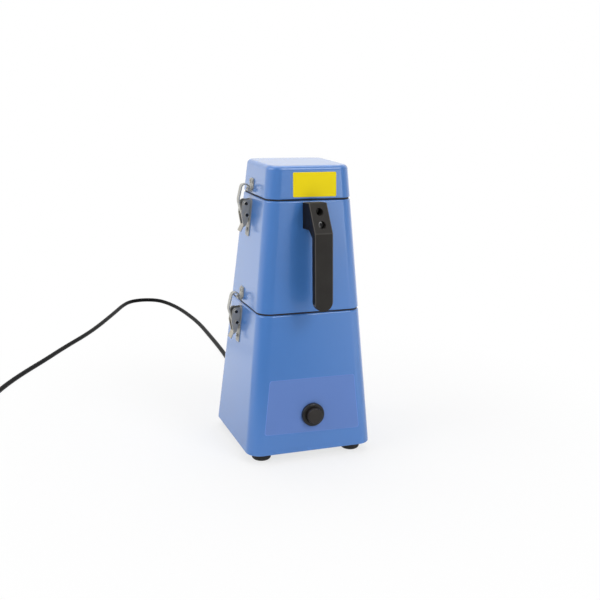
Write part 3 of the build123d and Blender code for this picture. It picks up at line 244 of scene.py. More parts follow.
def cast_alloy():
    m = Finish("cast_alloy")
    sand = m.noise(520.0, 5.0)
    base = m.blend(sand, (0.52, 0.53, 0.54), (0.68, 0.68, 0.69))
    return m.surface(base, 0.42 + sand * 0.18, sand, 0.00022, Metallic=1.0)


def laminated_steel(name, z_low, z_high):
    """Stacked sheets between two heights, and varnished copper above and below them."""
    sheet_pitch = 0.0009
    m = Finish(name)
    z = m.split(m.place)[2]
    stack = z.above(z_low) * (1.0 - z.above(z_high))
    sheets = (z * (2 * math.pi / sheet_pitch)).sine() * 0.5 + 0.5
    strands = m.noise(1400.0, 2.0, (1.0, 1.0, 0.35))
    steel = m.blend(sheets, (0.09, 0.095, 0.11), (0.20, 0.205, 0.22))
    copper = m.blend(strands, (0.36, 0.13, 0.045), (0.62, 0.27, 0.11))
    height = sheets * stack + strands * (1.0 - stack)
    return m.surface(
        m.blend(stack, copper, steel), 0.34 + sheets * 0.16, height, 0.00016, Metallic=0.9
    )


def enamelled_copper():
    m = Finish("enamelled_copper")
    tone = m.noise(220.0, 3.0)
    base = m.blend(tone, (0.50, 0.20, 0.08), (0.70, 0.33, 0.14))
    return m.surface(base, 0.22 + tone * 0.16, tone, 0.00005, Metallic=0.9, **{"Coat Weight": 0.6})


def commutator_copper():
    """Copper bars with dark mica in the slots between them."""
    m = Finish("commutator_copper")
    x, y, _ = m.split(m.place)
    radius = (x * x + y * y).root()
    bar = radius.ramp(0.0122, 0.0128)
    wear = m.turned(2600.0)
    base = m.blend(bar, (0.05, 0.04, 0.035), (0.66, 0.34, 0.18))
    return m.surface(base, 0.5 - bar * 0.26 + wear * 0.12, wear, 0.00004, Metallic=0.85)


def drawn_brass():
    m = Finish("drawn_brass")
    tone = m.noise(320.0, 4.0)
    base = m.blend(tone, (0.62, 0.44, 0.17), (0.80, 0.61, 0.27))
    return m.surface(base, 0.22 + tone * 0.2, tone, 0.00004, Metallic=1.0)


def pressed_carbon():
    m = Finish("pressed_carbon")
    grit = m.noise(1900.0, 4.0)
    base = m.blend(grit, (0.018, 0.018, 0.020), (0.055, 0.055, 0.058))
    return m.surface(base, 0.5 + grit * 0.2, grit, 0.00008)


def circuit_board(z_top):
    """Green solder mask with faint tracks, and dark components above it."""
    m = Finish("circuit_board")
    z = m.split(m.place)[2]
    part = z.above(z_top + 0.0003)
    tracks = m.cells(240.0).ramp(0.48, 0.56)
    case = m.noise(900.0, 2.0)
    mask = m.blend(tracks, (0.012, 0.10, 0.035), (0.03, 0.19, 0.07))
    body = m.blend(case, (0.02, 0.02, 0.022), (0.035, 0.035, 0.04))
    return m.surface(m.blend(part, mask, body), 0.28 + part * 0.2 + case * 0.08, tracks, 0.00006)


def moulded_plastic(name, dark, light, grain, depth, roughness):
    """Black plastic with a spark-eroded grain of about 1 / grain metres."""
    m = Finish(name)
    pits = m.cells(grain)
    haze = m.noise(45.0, 3.0)
    fine = m.noise(grain * 1.7, 2.0)
    base = m.blend(haze * 0.6 + fine * 0.4, dark, light)
    return m.surface(base, roughness + haze * 0.08 + fine * 0.06, pits * 0.6 + fine * 0.4, depth)


def handle_plastic(half_width, edge, bend):
    """Grained black plastic, smooth on the flanks, with painted shade darkening the flanks and
    painted highlights making edges and bend paler.
    """
    reach = edge * 0.8
    m = Finish("handle_plastic")
    x, _, z = m.split(m.place)
    across = (x * x).root()
    # Flanks: smooth, and darkened as painted shade.
    smooth_flank_painted_shade = across.ramp(half_width - edge * 0.5, half_width - edge * 0.1)
    # Edges and bend: a paler colour as painted highlights.
    painted_highlight = across.ramp(half_width - edge * 1.1, half_width - edge * 0.6)
    painted_bend_highlight = z.ramp(bend - reach, bend) * (1.0 - z.ramp(bend, bend + reach))
    painted_highlight = painted_highlight + painted_bend_highlight * 0.5
    pits = m.cells(1500.0)
    fine = m.noise(2500.0, 2.0)
    haze = m.noise(45.0, 3.0)
    grained = m.blend(haze * 0.6 + fine * 0.4, (0.022, 0.020, 0.018), (0.044, 0.041, 0.038))
    # Painted highlight colour on edges and bend, then painted shade colour on the flanks.
    base = m.blend(painted_highlight, grained, (0.10, 0.094, 0.088))
    base = m.blend(smooth_flank_painted_shade, base, (0.008, 0.006, 0.0045))
    height = (pits * 0.6 + fine * 0.4) * (1.0 - smooth_flank_painted_shade)
    return m.surface(base, 0.42 + haze * 0.08, height, 0.00012, **{"Specular IOR Level": 0.14})


def rubber(name, roughness):
    m = Finish(name)
    bloom = m.noise(70.0, 4.0)
    pores = m.noise(1600.0, 3.0)
    base = m.blend(bloom, (0.012, 0.012, 0.012), (0.032, 0.031, 0.030))
    return m.surface(base, roughness + bloom * 0.12, pores, 0.00008)


def cord_jacket():
    m = Finish("cord_jacket")
    dust = m.noise(90.0, 4.0)
    skin = m.noise(900.0, 2.0)
    base = m.blend(dust, (0.001, 0.001, 0.0011), (0.0035, 0.0035, 0.0038))
    return m.surface(base, 0.4 + dust * 0.12, skin, 0.00003, **{"Specular IOR Level": 0.1})


def printed_film(name, tint, variation, shine=0.5):
    """A bare plate or film: even colour, faint clouding and a fine screen-print grain."""
    m = Finish(name)
    cloud = m.noise(35.0, 3.0)
    grain = m.noise(1900.0, 2.0)
    base = m.blend(cloud, shade(tint, 1.0 - variation), shade(tint, 1.0 + variation))
    roughness = 0.42 + grain * 0.08 + cloud * 0.05
    return m.surface(base, roughness, grain, 0.00001, **{"Specular IOR Level": shine})


def paint_nodes(material, *nodes):
    """Gives CAD nodes a finish; their meshes stay as they are."""
    for name in nodes:
        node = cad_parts[name]
        node.data.materials.clear()
        node.data.materials.append(material)


def keep(piece, body, slot, *materials):
    """Puts finishes on a new piece, and lets it move with a CAD body."""
    for material in materials:
        piece.data.materials.append(material)
    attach(piece, body)


def latch_nodes(kind):
    places = [(level, side) for level in ("upper", "lower") for side in ("left", "right")]
    return [f"{level}_{side}_latch_{kind}" for level, side in places]


# ---- Shapes on the sloping faces ----
def half_depth(casing, z):
    rise = (z - casing.base_height) / (casing.top_height - casing.base_height)
    return (casing.base_depth + (casing.top_depth - casing.base_depth) * rise) / 2


def front_tilt(casing):
    rise = casing.top_height - casing.base_height
    return math.atan((casing.base_depth - casing.top_depth) / 2 / rise)


def front_place(casing, x, z, proud):
    """A point that stands proud of the sloping front at height z."""
    tilt = front_tilt(casing)
    y = -half_depth(casing, z) - proud * math.cos(tilt)
    return Vector((x, y, z + proud * math.sin(tilt)))


def wall_matrix(casing, z, side):
    """A frame at height z on the sloping front (side -1) or back (side 1).

    Its Z axis points outward and its Y axis up the slope.
    """
    tilt = front_tilt(casing)
    outward = Vector((0.0, side * math.cos(tilt), math.sin(tilt)))
    across = Vector((-side, 0.0, 0.0))
    turn = Matrix((across, outward.cross(across), outward)).transposed()
    return Matrix.Translation((0.0, side * half_depth(casing, z), z)) @ turn.to_4x4()


def rounded_outline(corners, radius, steps=8):
    """A polygon whose corners are rounded by arcs."""
    outline = []
    for i, corner in enumerate(corners):
        corner = Vector(corner)
        back = (Vector(corners[i - 1]) - corner).normalized()
        ahead = (Vector(corners[(i + 1) % len(corners)]) - corner).normalized()
        half = back.angle(ahead) / 2
        centre = corner + (back + ahead).normalized() * radius / math.sin(half)
        start = corner + back * radius / math.tan(half) - centre
        turn = (math.pi - 2 * half) * (1 if back.cross(ahead) < 0 else -1)
        for k in range(steps + 1):
            c, s = math.cos(turn * k / steps), math.sin(turn * k / steps)
            outline.append(centre + Vector((start.x * c - start.y * s, start.x * s + start.y * c)))
    return outline


def ring_points(centre, radius, count):
    x, y = centre
    turns = [2 * math.pi * i / count for i in range(count)]
    return [Vector((x + radius * math.cos(t), y + radius * math.sin(t))) for t in turns]


def hexagon_points(reach, count):
    """Points round a hexagon whose flats lie at reach, one for each point of a ring."""
    points = []
    for i in range(count):
        turn = 2 * math.pi * i / count
        corner = reach / math.cos((turn + math.pi / 6) % (math.pi / 3) - math.pi / 6)
        points.append(Vector((corner * math.cos(turn), corner * math.sin(turn))))
    return points


def stacked(name, rings, place):
    """A closed mesh through rings of equal count, given as (points, height) pairs."""
    count = len(rings[0][0])
    points = [place @ Vector((p.x, p.y, height)) for ring, height in rings for p in ring]
    faces = [tuple(range(count)), tuple(range(len(points) - count, len(points)))]
    for k in range(len(rings) - 1):
        for i in range(count):
            a, b = k * count + i, k * count + (i + 1) % count
            faces.append((a, b, b + count, a + count))
    mesh = bpy.data.meshes.new(name)
    mesh.from_pydata(points, [], faces)
    turn_out(mesh)
    return new_piece(name, mesh)


def new_piece(name, mesh):
    piece = bpy.data.objects.new(name, mesh)
    bpy.context.scene.collection.objects.link(piece)
    return piece


def plate(name, outline, holes, place, thickness, edge):
    """A thin plate whose rim, a band as wide as edge, falls off and takes the second finish.

    place(x, z, proud) puts a point on the plate's face.
    """
    rim_height = thickness * 0.6
    loops = [outline, *holes]
    low = [place(p.x, p.y, 0.0) for loop in loops for p in loop]
    rim = [place(p.x, p.y, rim_height) for loop in loops for p in loop]
    middle = sum(outline, Vector((0.0, 0.0))) / len(outline)
    inset = [p + (middle - p).normalized() * edge for p in outline]
    inset += [p for loop in holes for p in loop]
    top = [place(p.x, p.y, thickness) for p in inset]
    count = len(low)
    faces = []
    start = 0
    for loop in loops:
        size = len(loop)
        for i in range(size):
            a, b = start + i, start + (i + 1) % size
            c, d = b + count, a + count
            faces += [(a, b, c, d), (d, c, c + count, d + count)]
        start += size
    flat = [[Vector((p.x, p.y, 0.0)) for p in loop] for loop in loops]
    for a, b, c in tessellate_polygon(flat):
        faces += [(a + 2 * count, b + 2 * count, c + 2 * count), (c, b, a)]
    mesh = bpy.data.meshes.new(name)
    mesh.from_pydata(low + rim + top, [], faces)
    for i in range(len(outline)):
        mesh.polygons[2 * i + 1].material_index = 1
    turn_out(mesh)
    return new_piece(name, mesh)


def turn_out(mesh):
    """Merges doubles, points the faces outwards and shades them smooth between sharp edges."""
    work = bmesh.new()
    work.from_mesh(mesh)
    bmesh.ops.remove_doubles(work, verts=work.verts, dist=1e-7)
    bmesh.ops.recalc_face_normals(work, faces=work.faces)
    work.to_mesh(mesh)
    work.free()
    mesh.shade_smooth()
    mesh.set_sharp_from_angle(angle=math.radians(35))


# ---- Geometry Nodes ----
class Growth(Maker):
    """A Geometry Nodes group with named inputs."""

    def __init__(self, name, inputs):
        super().__init__(bpy.data.node_groups.new(name, "GeometryNodeTree"))
        sockets = self.tree.interface
        sockets.new_socket("Geometry", in_out="OUTPUT", socket_type="NodeSocketGeometry")
        for label, kind in inputs:
            sockets.new_socket(label, in_out="INPUT", socket_type=f"NodeSocket{kind}")
        self.inputs = self.node("NodeGroupInput").output.node.outputs

    def given(self, label):
        return Socket(self, self.inputs[label])

    def circle(self, resolution, radius):
        sockets = {"Resolution": resolution, "Radius": radius}
        return self.node("GeometryNodeCurvePrimitiveCircle", None, sockets)

    def finish(self, geometry):
        real = self.node("GeometryNodeRealizeInstances", None, {"Geometry": geometry})
        sockets = {"Geometry": real, "Material": self.given("Finish")}
        painted = self.node("GeometryNodeSetMaterial", None, sockets)
        self.node("NodeGroupOutput", None, {"Geometry": painted})
        return self.tree


def grow(name, tree, values):
    """Runs a Geometry Nodes group on an empty piece and keeps the result as a plain mesh."""
    piece = new_piece(name, bpy.data.meshes.new(name))
    modifier = piece.modifiers.new(tree.name, "NODES")
    modifier.node_group = tree
    for item in tree.interface.items_tree:
        if item.in_out == "INPUT":
            modifier[item.identifier] = values[item.name]
    graph = bpy.context.evaluated_depsgraph_get()
    mesh = bpy.data.meshes.new_from_object(piece.evaluated_get(graph))
    piece.modifiers.clear()
    piece.data = mesh
    turn_out(mesh)
    return piece


def rib_tree():
    """Rings along Z that grow thinner, as on a strain relief or a plug's sleeve."""
    inputs = [
        ("Count", "Int"),
        ("Pitch", "Float"),
        ("Start", "Float"),
        ("First Radius", "Float"),
        ("Radius Step", "Float"),
        ("Rib Radius", "Float"),
        ("Finish", "Material"),
    ]
    g = Growth("tapering_ribs", inputs)
    step = g.join(0.0, 0.0, g.given("Pitch"))
    start = g.join(0.0, 0.0, g.given("Start"))
    spots = {"Count": g.given("Count"), "Start Location": start, "Offset": step}
    line = g.node("GeometryNodeMeshLine", None, spots)
    ring = g.circle(40, g.given("First Radius"))
    wire = g.circle(10, g.given("Rib Radius"))
    torus = g.node("GeometryNodeCurveToMesh", None, {"Curve": ring, "Profile Curve": wire})
    index = g.node("GeometryNodeInputIndex")
    size = 1.0 - index * g.given("Radius Step") / g.given("First Radius")
    placed = {"Points": line, "Instance": torus, "Scale": g.join(size, size, size)}
    return g.finish(g.node("GeometryNodeInstanceOnPoints", None, placed))


def winding_tree():
    """Layers of rounded wire loops about the Y axis, as on a motor's field coil."""
    layer_pitch = 0.88
    inputs = [
        ("Turns", "Int"),
        ("Layers", "Int"),
        ("Width", "Float"),
        ("Height", "Float"),
        ("Corner", "Float"),
        ("Wire", "Float"),
        ("Start", "Float"),
        ("Finish", "Material"),
    ]
    g = Growth("field_winding", inputs)
    wire = g.given("Wire")
    index = g.node("GeometryNodeInputIndex")
    turns = g.given("Turns")
    layer = (index / turns).floor()
    turn = index - layer * turns
    total = turns * g.given("Layers")
    line = g.node("GeometryNodeMeshLine", None, {"Count": total})
    spot = g.join(0.0, g.given("Start") + layer * wire * layer_pitch, 0.0)
    points = g.node("GeometryNodeSetPosition", None, {"Geometry": line, "Position": spot})
    sockets = {"Width": g.given("Width"), "Height": g.given("Height")}
    loop = g.node("GeometryNodeCurvePrimitiveQuadrilateral", None, sockets)
    sockets = {"Curve": loop, "Radius": g.given("Corner"), "Count": 6}
    round_loop = g.node("GeometryNodeFilletCurve", {"mode": "POLY"}, sockets)
    sockets = {"Geometry": round_loop, "Rotation": (math.pi / 2, 0.0, 0.0)}
    upright = g.node("GeometryNodeTransform", None, sockets)
    section = g.circle(6, wire * 0.5)
    strand = g.node("GeometryNodeCurveToMesh", None, {"Curve": upright, "Profile Curve": section})
    wide = 1.0 + turn * wire * 2.0 / g.given("Width")
    tall = 1.0 + turn * wire * 2.0 / g.given("Height")
    placed = {"Points": points, "Instance": strand, "Scale": g.join(wide, 1.0, tall)}
    return g.finish(g.node("GeometryNodeInstanceOnPoints", None, placed))


# ---- Settings ----
def a_colour(name, description, default):
    return FloatVectorProperty(
        name=name, description=description, subtype="COLOR", default=default
    )


def a_length(name, description, default):
    return FloatProperty(name=name, description=description, subtype="DISTANCE", default=default)


def a_power(name, description, default):
    return FloatProperty(name=name, description=description, subtype="POWER", default=default)


class MillPaint(bpy.types.PropertyGroup):
    """The casings' enamel."""

    tint: a_colour("Enamel", "Colour of the casings", (0.060, 0.217, 0.605))
    roughness: FloatProperty(
        name="Roughness", description="How matt the enamel is", subtype="FACTOR", default=0.36
    )
    peel_depth: a_length("Orange peel", "Depth of its faint ripple", 0.00003)


class MillCasing(bpy.types.PropertyGroup):
    """The tapered body that plates and fittings sit on."""

    base_height: a_length("Base height", "Underside above the table", 0.012)
    top_height: a_length("Top height", "Lid's top above the table", 0.375)
    base_depth: a_length("Base depth", "Front to back at the underside", 0.165)
    top_depth: a_length("Top depth", "Front to back at the top", 0.105)
    chamber_top: a_length("Chamber top", "Chamber's upper edge above the table", 0.3325)
    cord_exit: a_length("Cord exit", "Middle of the strain relief above the table", 0.034)


class MillPlates(bpy.types.PropertyGroup):
    """The yellow plate on the lid and the film on the housing."""

    lid_tint: a_colour("Lid plate", "Colour of the lid's plate", (1.0, 0.79, 0.002))
    film_tint: a_colour("Film", "Colour of the housing's film", (0.122, 0.237, 0.6))
    corner: a_length("Corner", "Radius of the lid plate's corners", 0.0016)
    thickness: a_length("Thickness", "How far the lid's plate stands proud", 0.0003)


class MillCord(bpy.types.PropertyGroup):
    """The mains cord."""

    diameter: a_length("Diameter", "Outside diameter of the cord", 0.0075)
    length: a_length("Length", "From the housing to the plug", 2.2)
    coil_radius: a_length("Coil radius", "Radius of the coil's outer turn", 0.046)
    coil_pitch: a_length("Coil pitch", "From one turn of the coil to the next", 0.008)
    layer_rise: a_length("Layer rise", "From the coil's lower layer to its upper one", 0.00825)
    plug_height: a_length("Plug height", "Middle of the plug above the table", 0.0185)
    relief_length: a_length("Relief length", "Strain relief outside the housing", 0.0277)
    ribs: IntProperty(name="Ribs", description="Ribs on the strain relief", default=6, min=2)


class MillStage(bpy.types.PropertyGroup):
    """The studio."""

    floor_tint: a_colour("Floor", "Colour of the floor", (0.96, 0.96, 0.96))
    key_power: a_power("Key light", "Power of the narrow lamp in front", 2.64)
    side_power: a_power("Side light", "Power of the lamp at the left", 14.4)
    top_power: a_power("Top light", "Power of the lamp above", 13.5)
    focal_length: FloatProperty(
        name="Focal length", description="Of the camera, for a 36 mm sensor", default=55.17
    )


# ---- Finishes of the CAD nodes ----
class MILL_OT_paint_casings(bpy.types.Operator):
    """Gives the three casings their blue enamel"""

    bl_idname = "mill.paint_casings"
    bl_label = "Paint Casings"

    def execute(self, context):
        enamel = casing_enamel(context.scene.mill_paint)
        paint_nodes(enamel, "motor_housing", "chamber_housing", "lid_shell")
        return {"FINISHED"}


class MILL_OT_finish_fittings(bpy.types.Operator):
    """Finishes the latches, screws, handle, button, feet and seals"""

    bl_idname = "mill.finish_fittings"
    bl_label = "Finish Fittings"

    def execute(self, context):
        claw_inset, claw_drop = 0.00114, 0.01465
        # Rivet axes, where the zinc finishes paint shade into the rivets' mouths.
        rivets = []
        for low, high in (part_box("upper_latch_pins"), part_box("lower_latch_pins")):
            radius = (high.z - low.z) / 2
            x, z = high.x - radius, low.z + radius
            rivets += [(x, z), (x - claw_inset, z - claw_drop)]
        zinc = bright_zinc("bright_zinc", rivets, (0.41, 0.403, 0.37), (0.55, 0.542, 0.50))
        paint_nodes(zinc, *latch_nodes("base"), *latch_nodes("claw"))
        paint_nodes(zinc, "upper_latch_pins", "lower_latch_pins", "chamber_keepers", "lid_keepers")
        paint_nodes(zinc, "foot_screws", "lid_screws", "chamber_screws", "lower_latch_screws")
        paint_nodes(zinc, "motor_bolts", "handle_screws")
        warm_zinc = bright_zinc("warm_zinc", rivets, (0.43, 0.402, 0.345), (0.57, 0.535, 0.47))
        paint_nodes(warm_zinc, *latch_nodes("lever"))
        paint_nodes(stainless("screw_steel", density=1800.0), "blade_nut")
        low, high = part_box("handle")
        grip = handle_plastic((high.x - low.x) / 2, edge=0.0015, bend=0.2986)
        paint_nodes(grip, "handle")
        dark, light = (0.008, 0.008, 0.008), (0.016, 0.016, 0.016)
        ring = moulded_plastic(
            "bezel_plastic", dark, light, grain=2400.0, depth=0.00003, roughness=0.24
        )
        paint_nodes(ring, "button_bezel", "switch_block")
        dark, light = (0.014, 0.011, 0.009), (0.030, 0.024, 0.020)
        cap = moulded_plastic(
            "cap_plastic", dark, light, grain=1100.0, depth=0.00014, roughness=0.4
        )
        paint_nodes(cap, "button_cap")
        seals = rubber("foot_rubber", roughness=0.6)
        paint_nodes(seals, "rubber_feet", "housing_gasket", "lid_seal", "shaft_seal")
        return {"FINISHED"}


class MILL_OT_finish_drive(bpy.types.Operator):
    """Finishes the motor, the drive and the electrical parts inside the housing"""

    bl_idname = "mill.finish_drive"
    bl_label = "Finish Drive"

    def execute(self, context):
        paint_nodes(sheet_zinc(), "base_plate")
        paint_nodes(cast_alloy(), "upper_motor_bell", "lower_motor_bell", "bearing_carrier")
        low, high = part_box("stator_core")
        steel = laminated_steel("laminated_core", low.z, high.z)
        paint_nodes(steel, "stator_core", "armature")
        paint_nodes(commutator_copper(), "commutator")
        paint_nodes(drawn_brass(), "brush_holders", "plug_pins")
        paint_nodes(pressed_carbon(), "carbon_brushes")
        ground = stainless("ground_steel", density=3200.0)
        paint_nodes(ground, "motor_bearings", "motor_shaft")
        paint_nodes(ground, "shaft_bearings", "blade_shaft", "driven_coupling")
        board_thickness = 0.0016
        low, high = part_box("control_board")
        paint_nodes(circuit_board(low.z + board_thickness), "control_board")
        dark, light = (0.010, 0.010, 0.011), (0.024, 0.024, 0.025)
        nylon = moulded_plastic(
            "black_nylon", dark, light, grain=1500.0, depth=0.00006, roughness=0.4
        )
        paint_nodes(nylon, "cooling_fan", "drive_coupling", "strain_relief", "mains_plug")
        return {"FINISHED"}


class MILL_OT_finish_grinding_space(bpy.types.Operator):
    """Finishes the cup, the beater and the lid's liner"""

    bl_idname = "mill.finish_grinding_space"
    bl_label = "Finish Grinding Space"

    def execute(self, context):
        paint_nodes(stainless("polished_cup", density=2400.0), "grinding_cup", "lid_liner")
        paint_nodes(stainless("ground_beater", density=900.0), "beater_blade")
        return {"FINISHED"}


# ---- New pieces ----
class MILL_OT_fit_plates(bpy.types.Operator):
    """Fits the bare yellow plate on the lid and the bare film round the button"""

    bl_idname = "mill.fit_plates"
    bl_label = "Fit Plates"

    def execute(self, context):
        plates, casing = context.scene.mill_plates, context.scene.mill_casing

        def on_front(x, z, proud):
            return front_place(casing, x, z, proud)

        corners = [(-0.024, 0.3370), (0.033, 0.3370), (0.033, 0.3672), (-0.024, 0.3672)]
        outline = rounded_outline(corners, plates.corner)
        lid_plate = plate("lid_plate", outline, [], on_front, plates.thickness, edge=0.0002)
        yellow = printed_film("yellow_plate", plates.lid_tint, variation=0.03, shine=0.25)
        keep(lid_plate, "lid", "blue_paint", yellow, yellow)

        corners = [(-0.065, 0.0390), (0.065, 0.0360), (0.058, 0.1080), (-0.057, 0.1090)]
        outline = rounded_outline(corners, 2 * plates.corner)
        overlap = 0.0004
        low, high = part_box("button_bezel")
        button = ((low.x + high.x) / 2, (low.z + high.z) / 2)
        hole = ring_points(button, (high.x - low.x) / 2 - overlap, 64)
        thickness = plates.thickness * 0.7
        film = plate("front_film", outline, [hole], on_front, thickness, edge=0.0007)
        printed = printed_film("front_film", plates.film_tint, variation=0.02)
        # The film's rim takes a paler tint, a painted highlight along its edge.
        film_highlight_tint = shade(plates.film_tint, 1.28)
        painted_film_highlight = printed_film("film_margin", film_highlight_tint, variation=0.02)
        keep(film, "base", "blue_paint", printed, painted_film_highlight)
        return {"FINISHED"}


class MILL_OT_fit_cap_screw(bpy.types.Operator):
    """Fits the tall head of the handle's lower cap screw, just inside the mouth of its bore"""

    bl_idname = "mill.fit_cap_screw"
    bl_label = "Fit Cap Screw"

    def execute(self, context):
        radius, chamfer, key, sides = 0.00425, 0.0005, 0.0021, 48
        low, high, socket = 0.0131, 0.0295, 0.0030
        bore_drop = 0.0275
        side = ring_points((0.0, 0.0), radius, sides)
        brim = ring_points((0.0, 0.0), radius - chamfer, sides)
        hexagon = hexagon_points(key, sides)
        rings = [
            (side, low),
            (side, high - chamfer),
            (brim, high),
            (hexagon, high),
            (hexagon, high - socket),
        ]
        casing = context.scene.mill_casing
        edge = wall_matrix(casing, casing.chamber_top, -1)
        screw = stacked("handle_cap_screw", rings, edge @ Matrix.Translation((0, -bore_drop, 0)))
        keep(screw, "chamber", "plain_steel", stainless("cap_steel", density=1800.0, tone=0.45))
        return {"FINISHED"}


class MILL_OT_wind_field_coils(bpy.types.Operator):
    """Winds the motor's field coils, wire by wire"""

    bl_idname = "mill.wind_field_coils"
    bl_label = "Wind Field Coils"

    def execute(self, context):
        clearance = 0.0010
        low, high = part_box("stator_core")
        values = {
            "Turns": 10,
            "Layers": 4,
            "Width": 0.0168,
            "Height": high.z - low.z + clearance,
            "Corner": 0.002,
            "Wire": 0.00062,
            "Start": 0.0288,
            "Finish": enamelled_copper(),
        }
        coil = grow("field_coils", winding_tree(), values)
        coil.data.transform(Matrix.Translation((0.0, 0.0, (low.z + high.z) / 2)))
        other = coil.data.copy()
        other.transform(Matrix.Rotation(math.pi, 4, "Z"))
        both = bmesh.new()
        both.from_mesh(coil.data)
        both.from_mesh(other)
        both.to_mesh(coil.data)
        both.free()
        bpy.data.meshes.remove(other)
        keep(coil, "base", "copper")
        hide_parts("stator_windings")
        return {"FINISHED"}


# The cord's points on the table before its coil, in millimetres
FLOOR_ROUTE = (
    (3, 222),
    (4, 300),
    (11, 388),
    (14, 484),
    (16, 580),
    (9, 662),
    (2, 708),
    (-10, 750),
    (-25, 777),
    (-53, 788),
    (-82, 780),
    (-103, 750),
    (-124, 706),
    (-152, 650),
    (-178, 600),
    (-206, 552),
    (-250, 487),
    (-290, 422),
    (-327, 366),
    (-355, 318),
    (-376, 275),
    (-392, 235),
)


def cord_route(settings):
    """The cord's control points: from the strain relief to the coil, round it and to the plug."""
    z = settings.diameter / 2
    fall = [(0, 98.32, 35.46), (0, 138.19, 38.75), (1, 172, 27)]
    route = [Vector(point) * MM for point in fall]
    route += [Vector((x * MM, y * MM, z)) for x, y in FLOOR_ROUTE]
    x, y, heading = -0.392, 0.1875, -1
    steps, rising_turn = 8, 2
    for turn, inward in enumerate((0, 1, 2, 1, 0)):
        radius = settings.coil_radius - settings.coil_pitch / 2 * inward
        rise = settings.layer_rise if turn == rising_turn else 0.0
        reach = radius / math.cos(math.pi / steps / 2)
        middle = x + heading * radius
        for i in range(steps):
            part = (i + 0.5) / steps
            back = heading * reach * math.cos(math.pi * part)
            out = heading * reach * math.sin(math.pi * part)
            route.append(Vector((middle - back, y + out, z + rise * part)))
        x = middle + heading * radius
        z += rise
        heading = -heading
    plug = settings.plug_height
    route += [Vector((x, y + run, up)) for run, up in ((0.030, z), (0.076, plug), (0.106, plug))]
    return route


class MILL_OT_lay_cord(bpy.types.Operator):
    """Lays the mains cord over the table, with its coil"""

    bl_idname = "mill.lay_cord"
    bl_label = "Lay Cord"

    def execute(self, context):
        settings, casing = context.scene.mill_cord, context.scene.mill_casing
        route = cord_route(settings)
        line = bpy.data.curves.new("mains_cord", "CURVE")
        line.dimensions = "3D"
        line.bevel_depth = settings.diameter / 2
        line.bevel_resolution = 6
        line.resolution_u = 8
        line.use_fill_caps = True
        spline = line.splines.new("NURBS")
        spline.points.add(len(route) - 1)
        for point, place in zip(spline.points, route):
            point.co = (*place, 1.0)
        spline.order_u = 3
        spline.use_endpoint_u = True
        cord = new_piece("mains_cord", line)
        keep(cord, "base", "cord_black", cord_jacket())
        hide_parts("power_cord", "cord_coil")
        back = wall_matrix(casing, casing.cord_exit, 1)
        return {"FINISHED"}


class MILL_OT_rib_sleeves(bpy.types.Operator):
    """Moulds the ribs of the strain relief and of the plug's sleeve"""

    bl_idname = "mill.rib_sleeves"
    bl_label = "Rib Sleeves"

    def execute(self, context):
        settings, casing = context.scene.mill_cord, context.scene.mill_casing
        dark, light = (0.010, 0.010, 0.011), (0.022, 0.022, 0.023)
        vinyl = moulded_plastic(
            "sleeve_vinyl", dark, light, grain=1300.0, depth=0.00006, roughness=0.42
        )
        relief = {
            "Count": settings.ribs,
            "Pitch": 0.0036,
            "Start": 0.0062,
            "First Radius": 0.0070,
            "Radius Step": 0.00028,
            "Rib Radius": 0.0009,
            "Finish": vinyl,
        }
        sleeve = {
            **relief,
            "Count": 4,
            "Pitch": 0.0034,
            "Start": 0.0030,
            "First Radius": 0.0052,
            "Radius Step": -0.0002,
        }
        low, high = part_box("mains_plug")
        neck = Matrix.Translation(((low.x + high.x) / 2, low.y, (low.z + high.z) / 2))
        neck = neck @ Matrix.Rotation(-math.pi / 2, 4, "X")
        back = wall_matrix(casing, casing.cord_exit, 1)
        tree = rib_tree()
        for name, values, place in (("relief_ribs", relief, back), ("plug_ribs", sleeve, neck)):
            ribs = grow(name, tree, values)
            ribs.data.transform(place)
            keep(ribs, "base", "black_plastic")
        return {"FINISHED"}


# ---- Studio ----
def soft_lamp(name, power, size, place, target):
    """An area lamp at a place, turned towards a target."""
    lamp = bpy.data.lights.new(name, "AREA")
    lamp.shape = "RECTANGLE"
    lamp.size, lamp.size_y = size
    lamp.energy = power
    holder = bpy.data.objects.new(name, lamp)
    holder.location = place
    holder.rotation_euler = (Vector(target) - Vector(place)).to_track_quat("-Z", "Y").to_euler()
    bpy.context.scene.collection.objects.link(holder)
    return lamp


def ray_kinds(maker, *kinds):
    """One mask for each kind of ray: 1 for rays of that kind and 0 for others."""
    rays = maker.node("ShaderNodeLightPath").output.node.outputs
    return [Socket(maker, rays[f"Is {kind} Ray"]) for kind in kinds]


def studio_world():
    """White behind the object and in its reflections, and a softer level for its light.

    Reflections also find a bright zone low in front, to the right of the camera.
    """
    light_level, front_level, zone_level = 0.46, 0.32, 4.2
    world = bpy.data.worlds.new("studio")
    world.use_nodes = True
    m = Maker(world.node_tree)
    world.node_tree.nodes.clear()
    seen, mirrored, through = ray_kinds(m, "Camera", "Glossy", "Transmission")
    x, y, z = m.split(m.node("ShaderNodeTexCoord", None, None, "Generated"))
    aside = x + y * 0.38
    zone = aside.ramp(-0.05, 0.09) * (1.0 - aside.ramp(0.15, 0.3)) * (1.0 - z.ramp(0.04, 0.2))
    zone = zone * (1.0 - y.ramp(-0.9, -0.5))
    wall = y.ramp(-0.75, 0.35) * (1.0 - front_level) + front_level + zone * zone_level
    light = (1.0 - mirrored - through) * light_level
    strength = seen + (1.0 - seen) * ((mirrored + through) * wall + light)
    white = {"Color": (1.0, 1.0, 1.0, 1.0), "Strength": strength}
    sky = m.node("ShaderNodeBackground", None, white)
    m.node("ShaderNodeOutputWorld", None, {"Surface": sky})
    bpy.context.scene.world = world


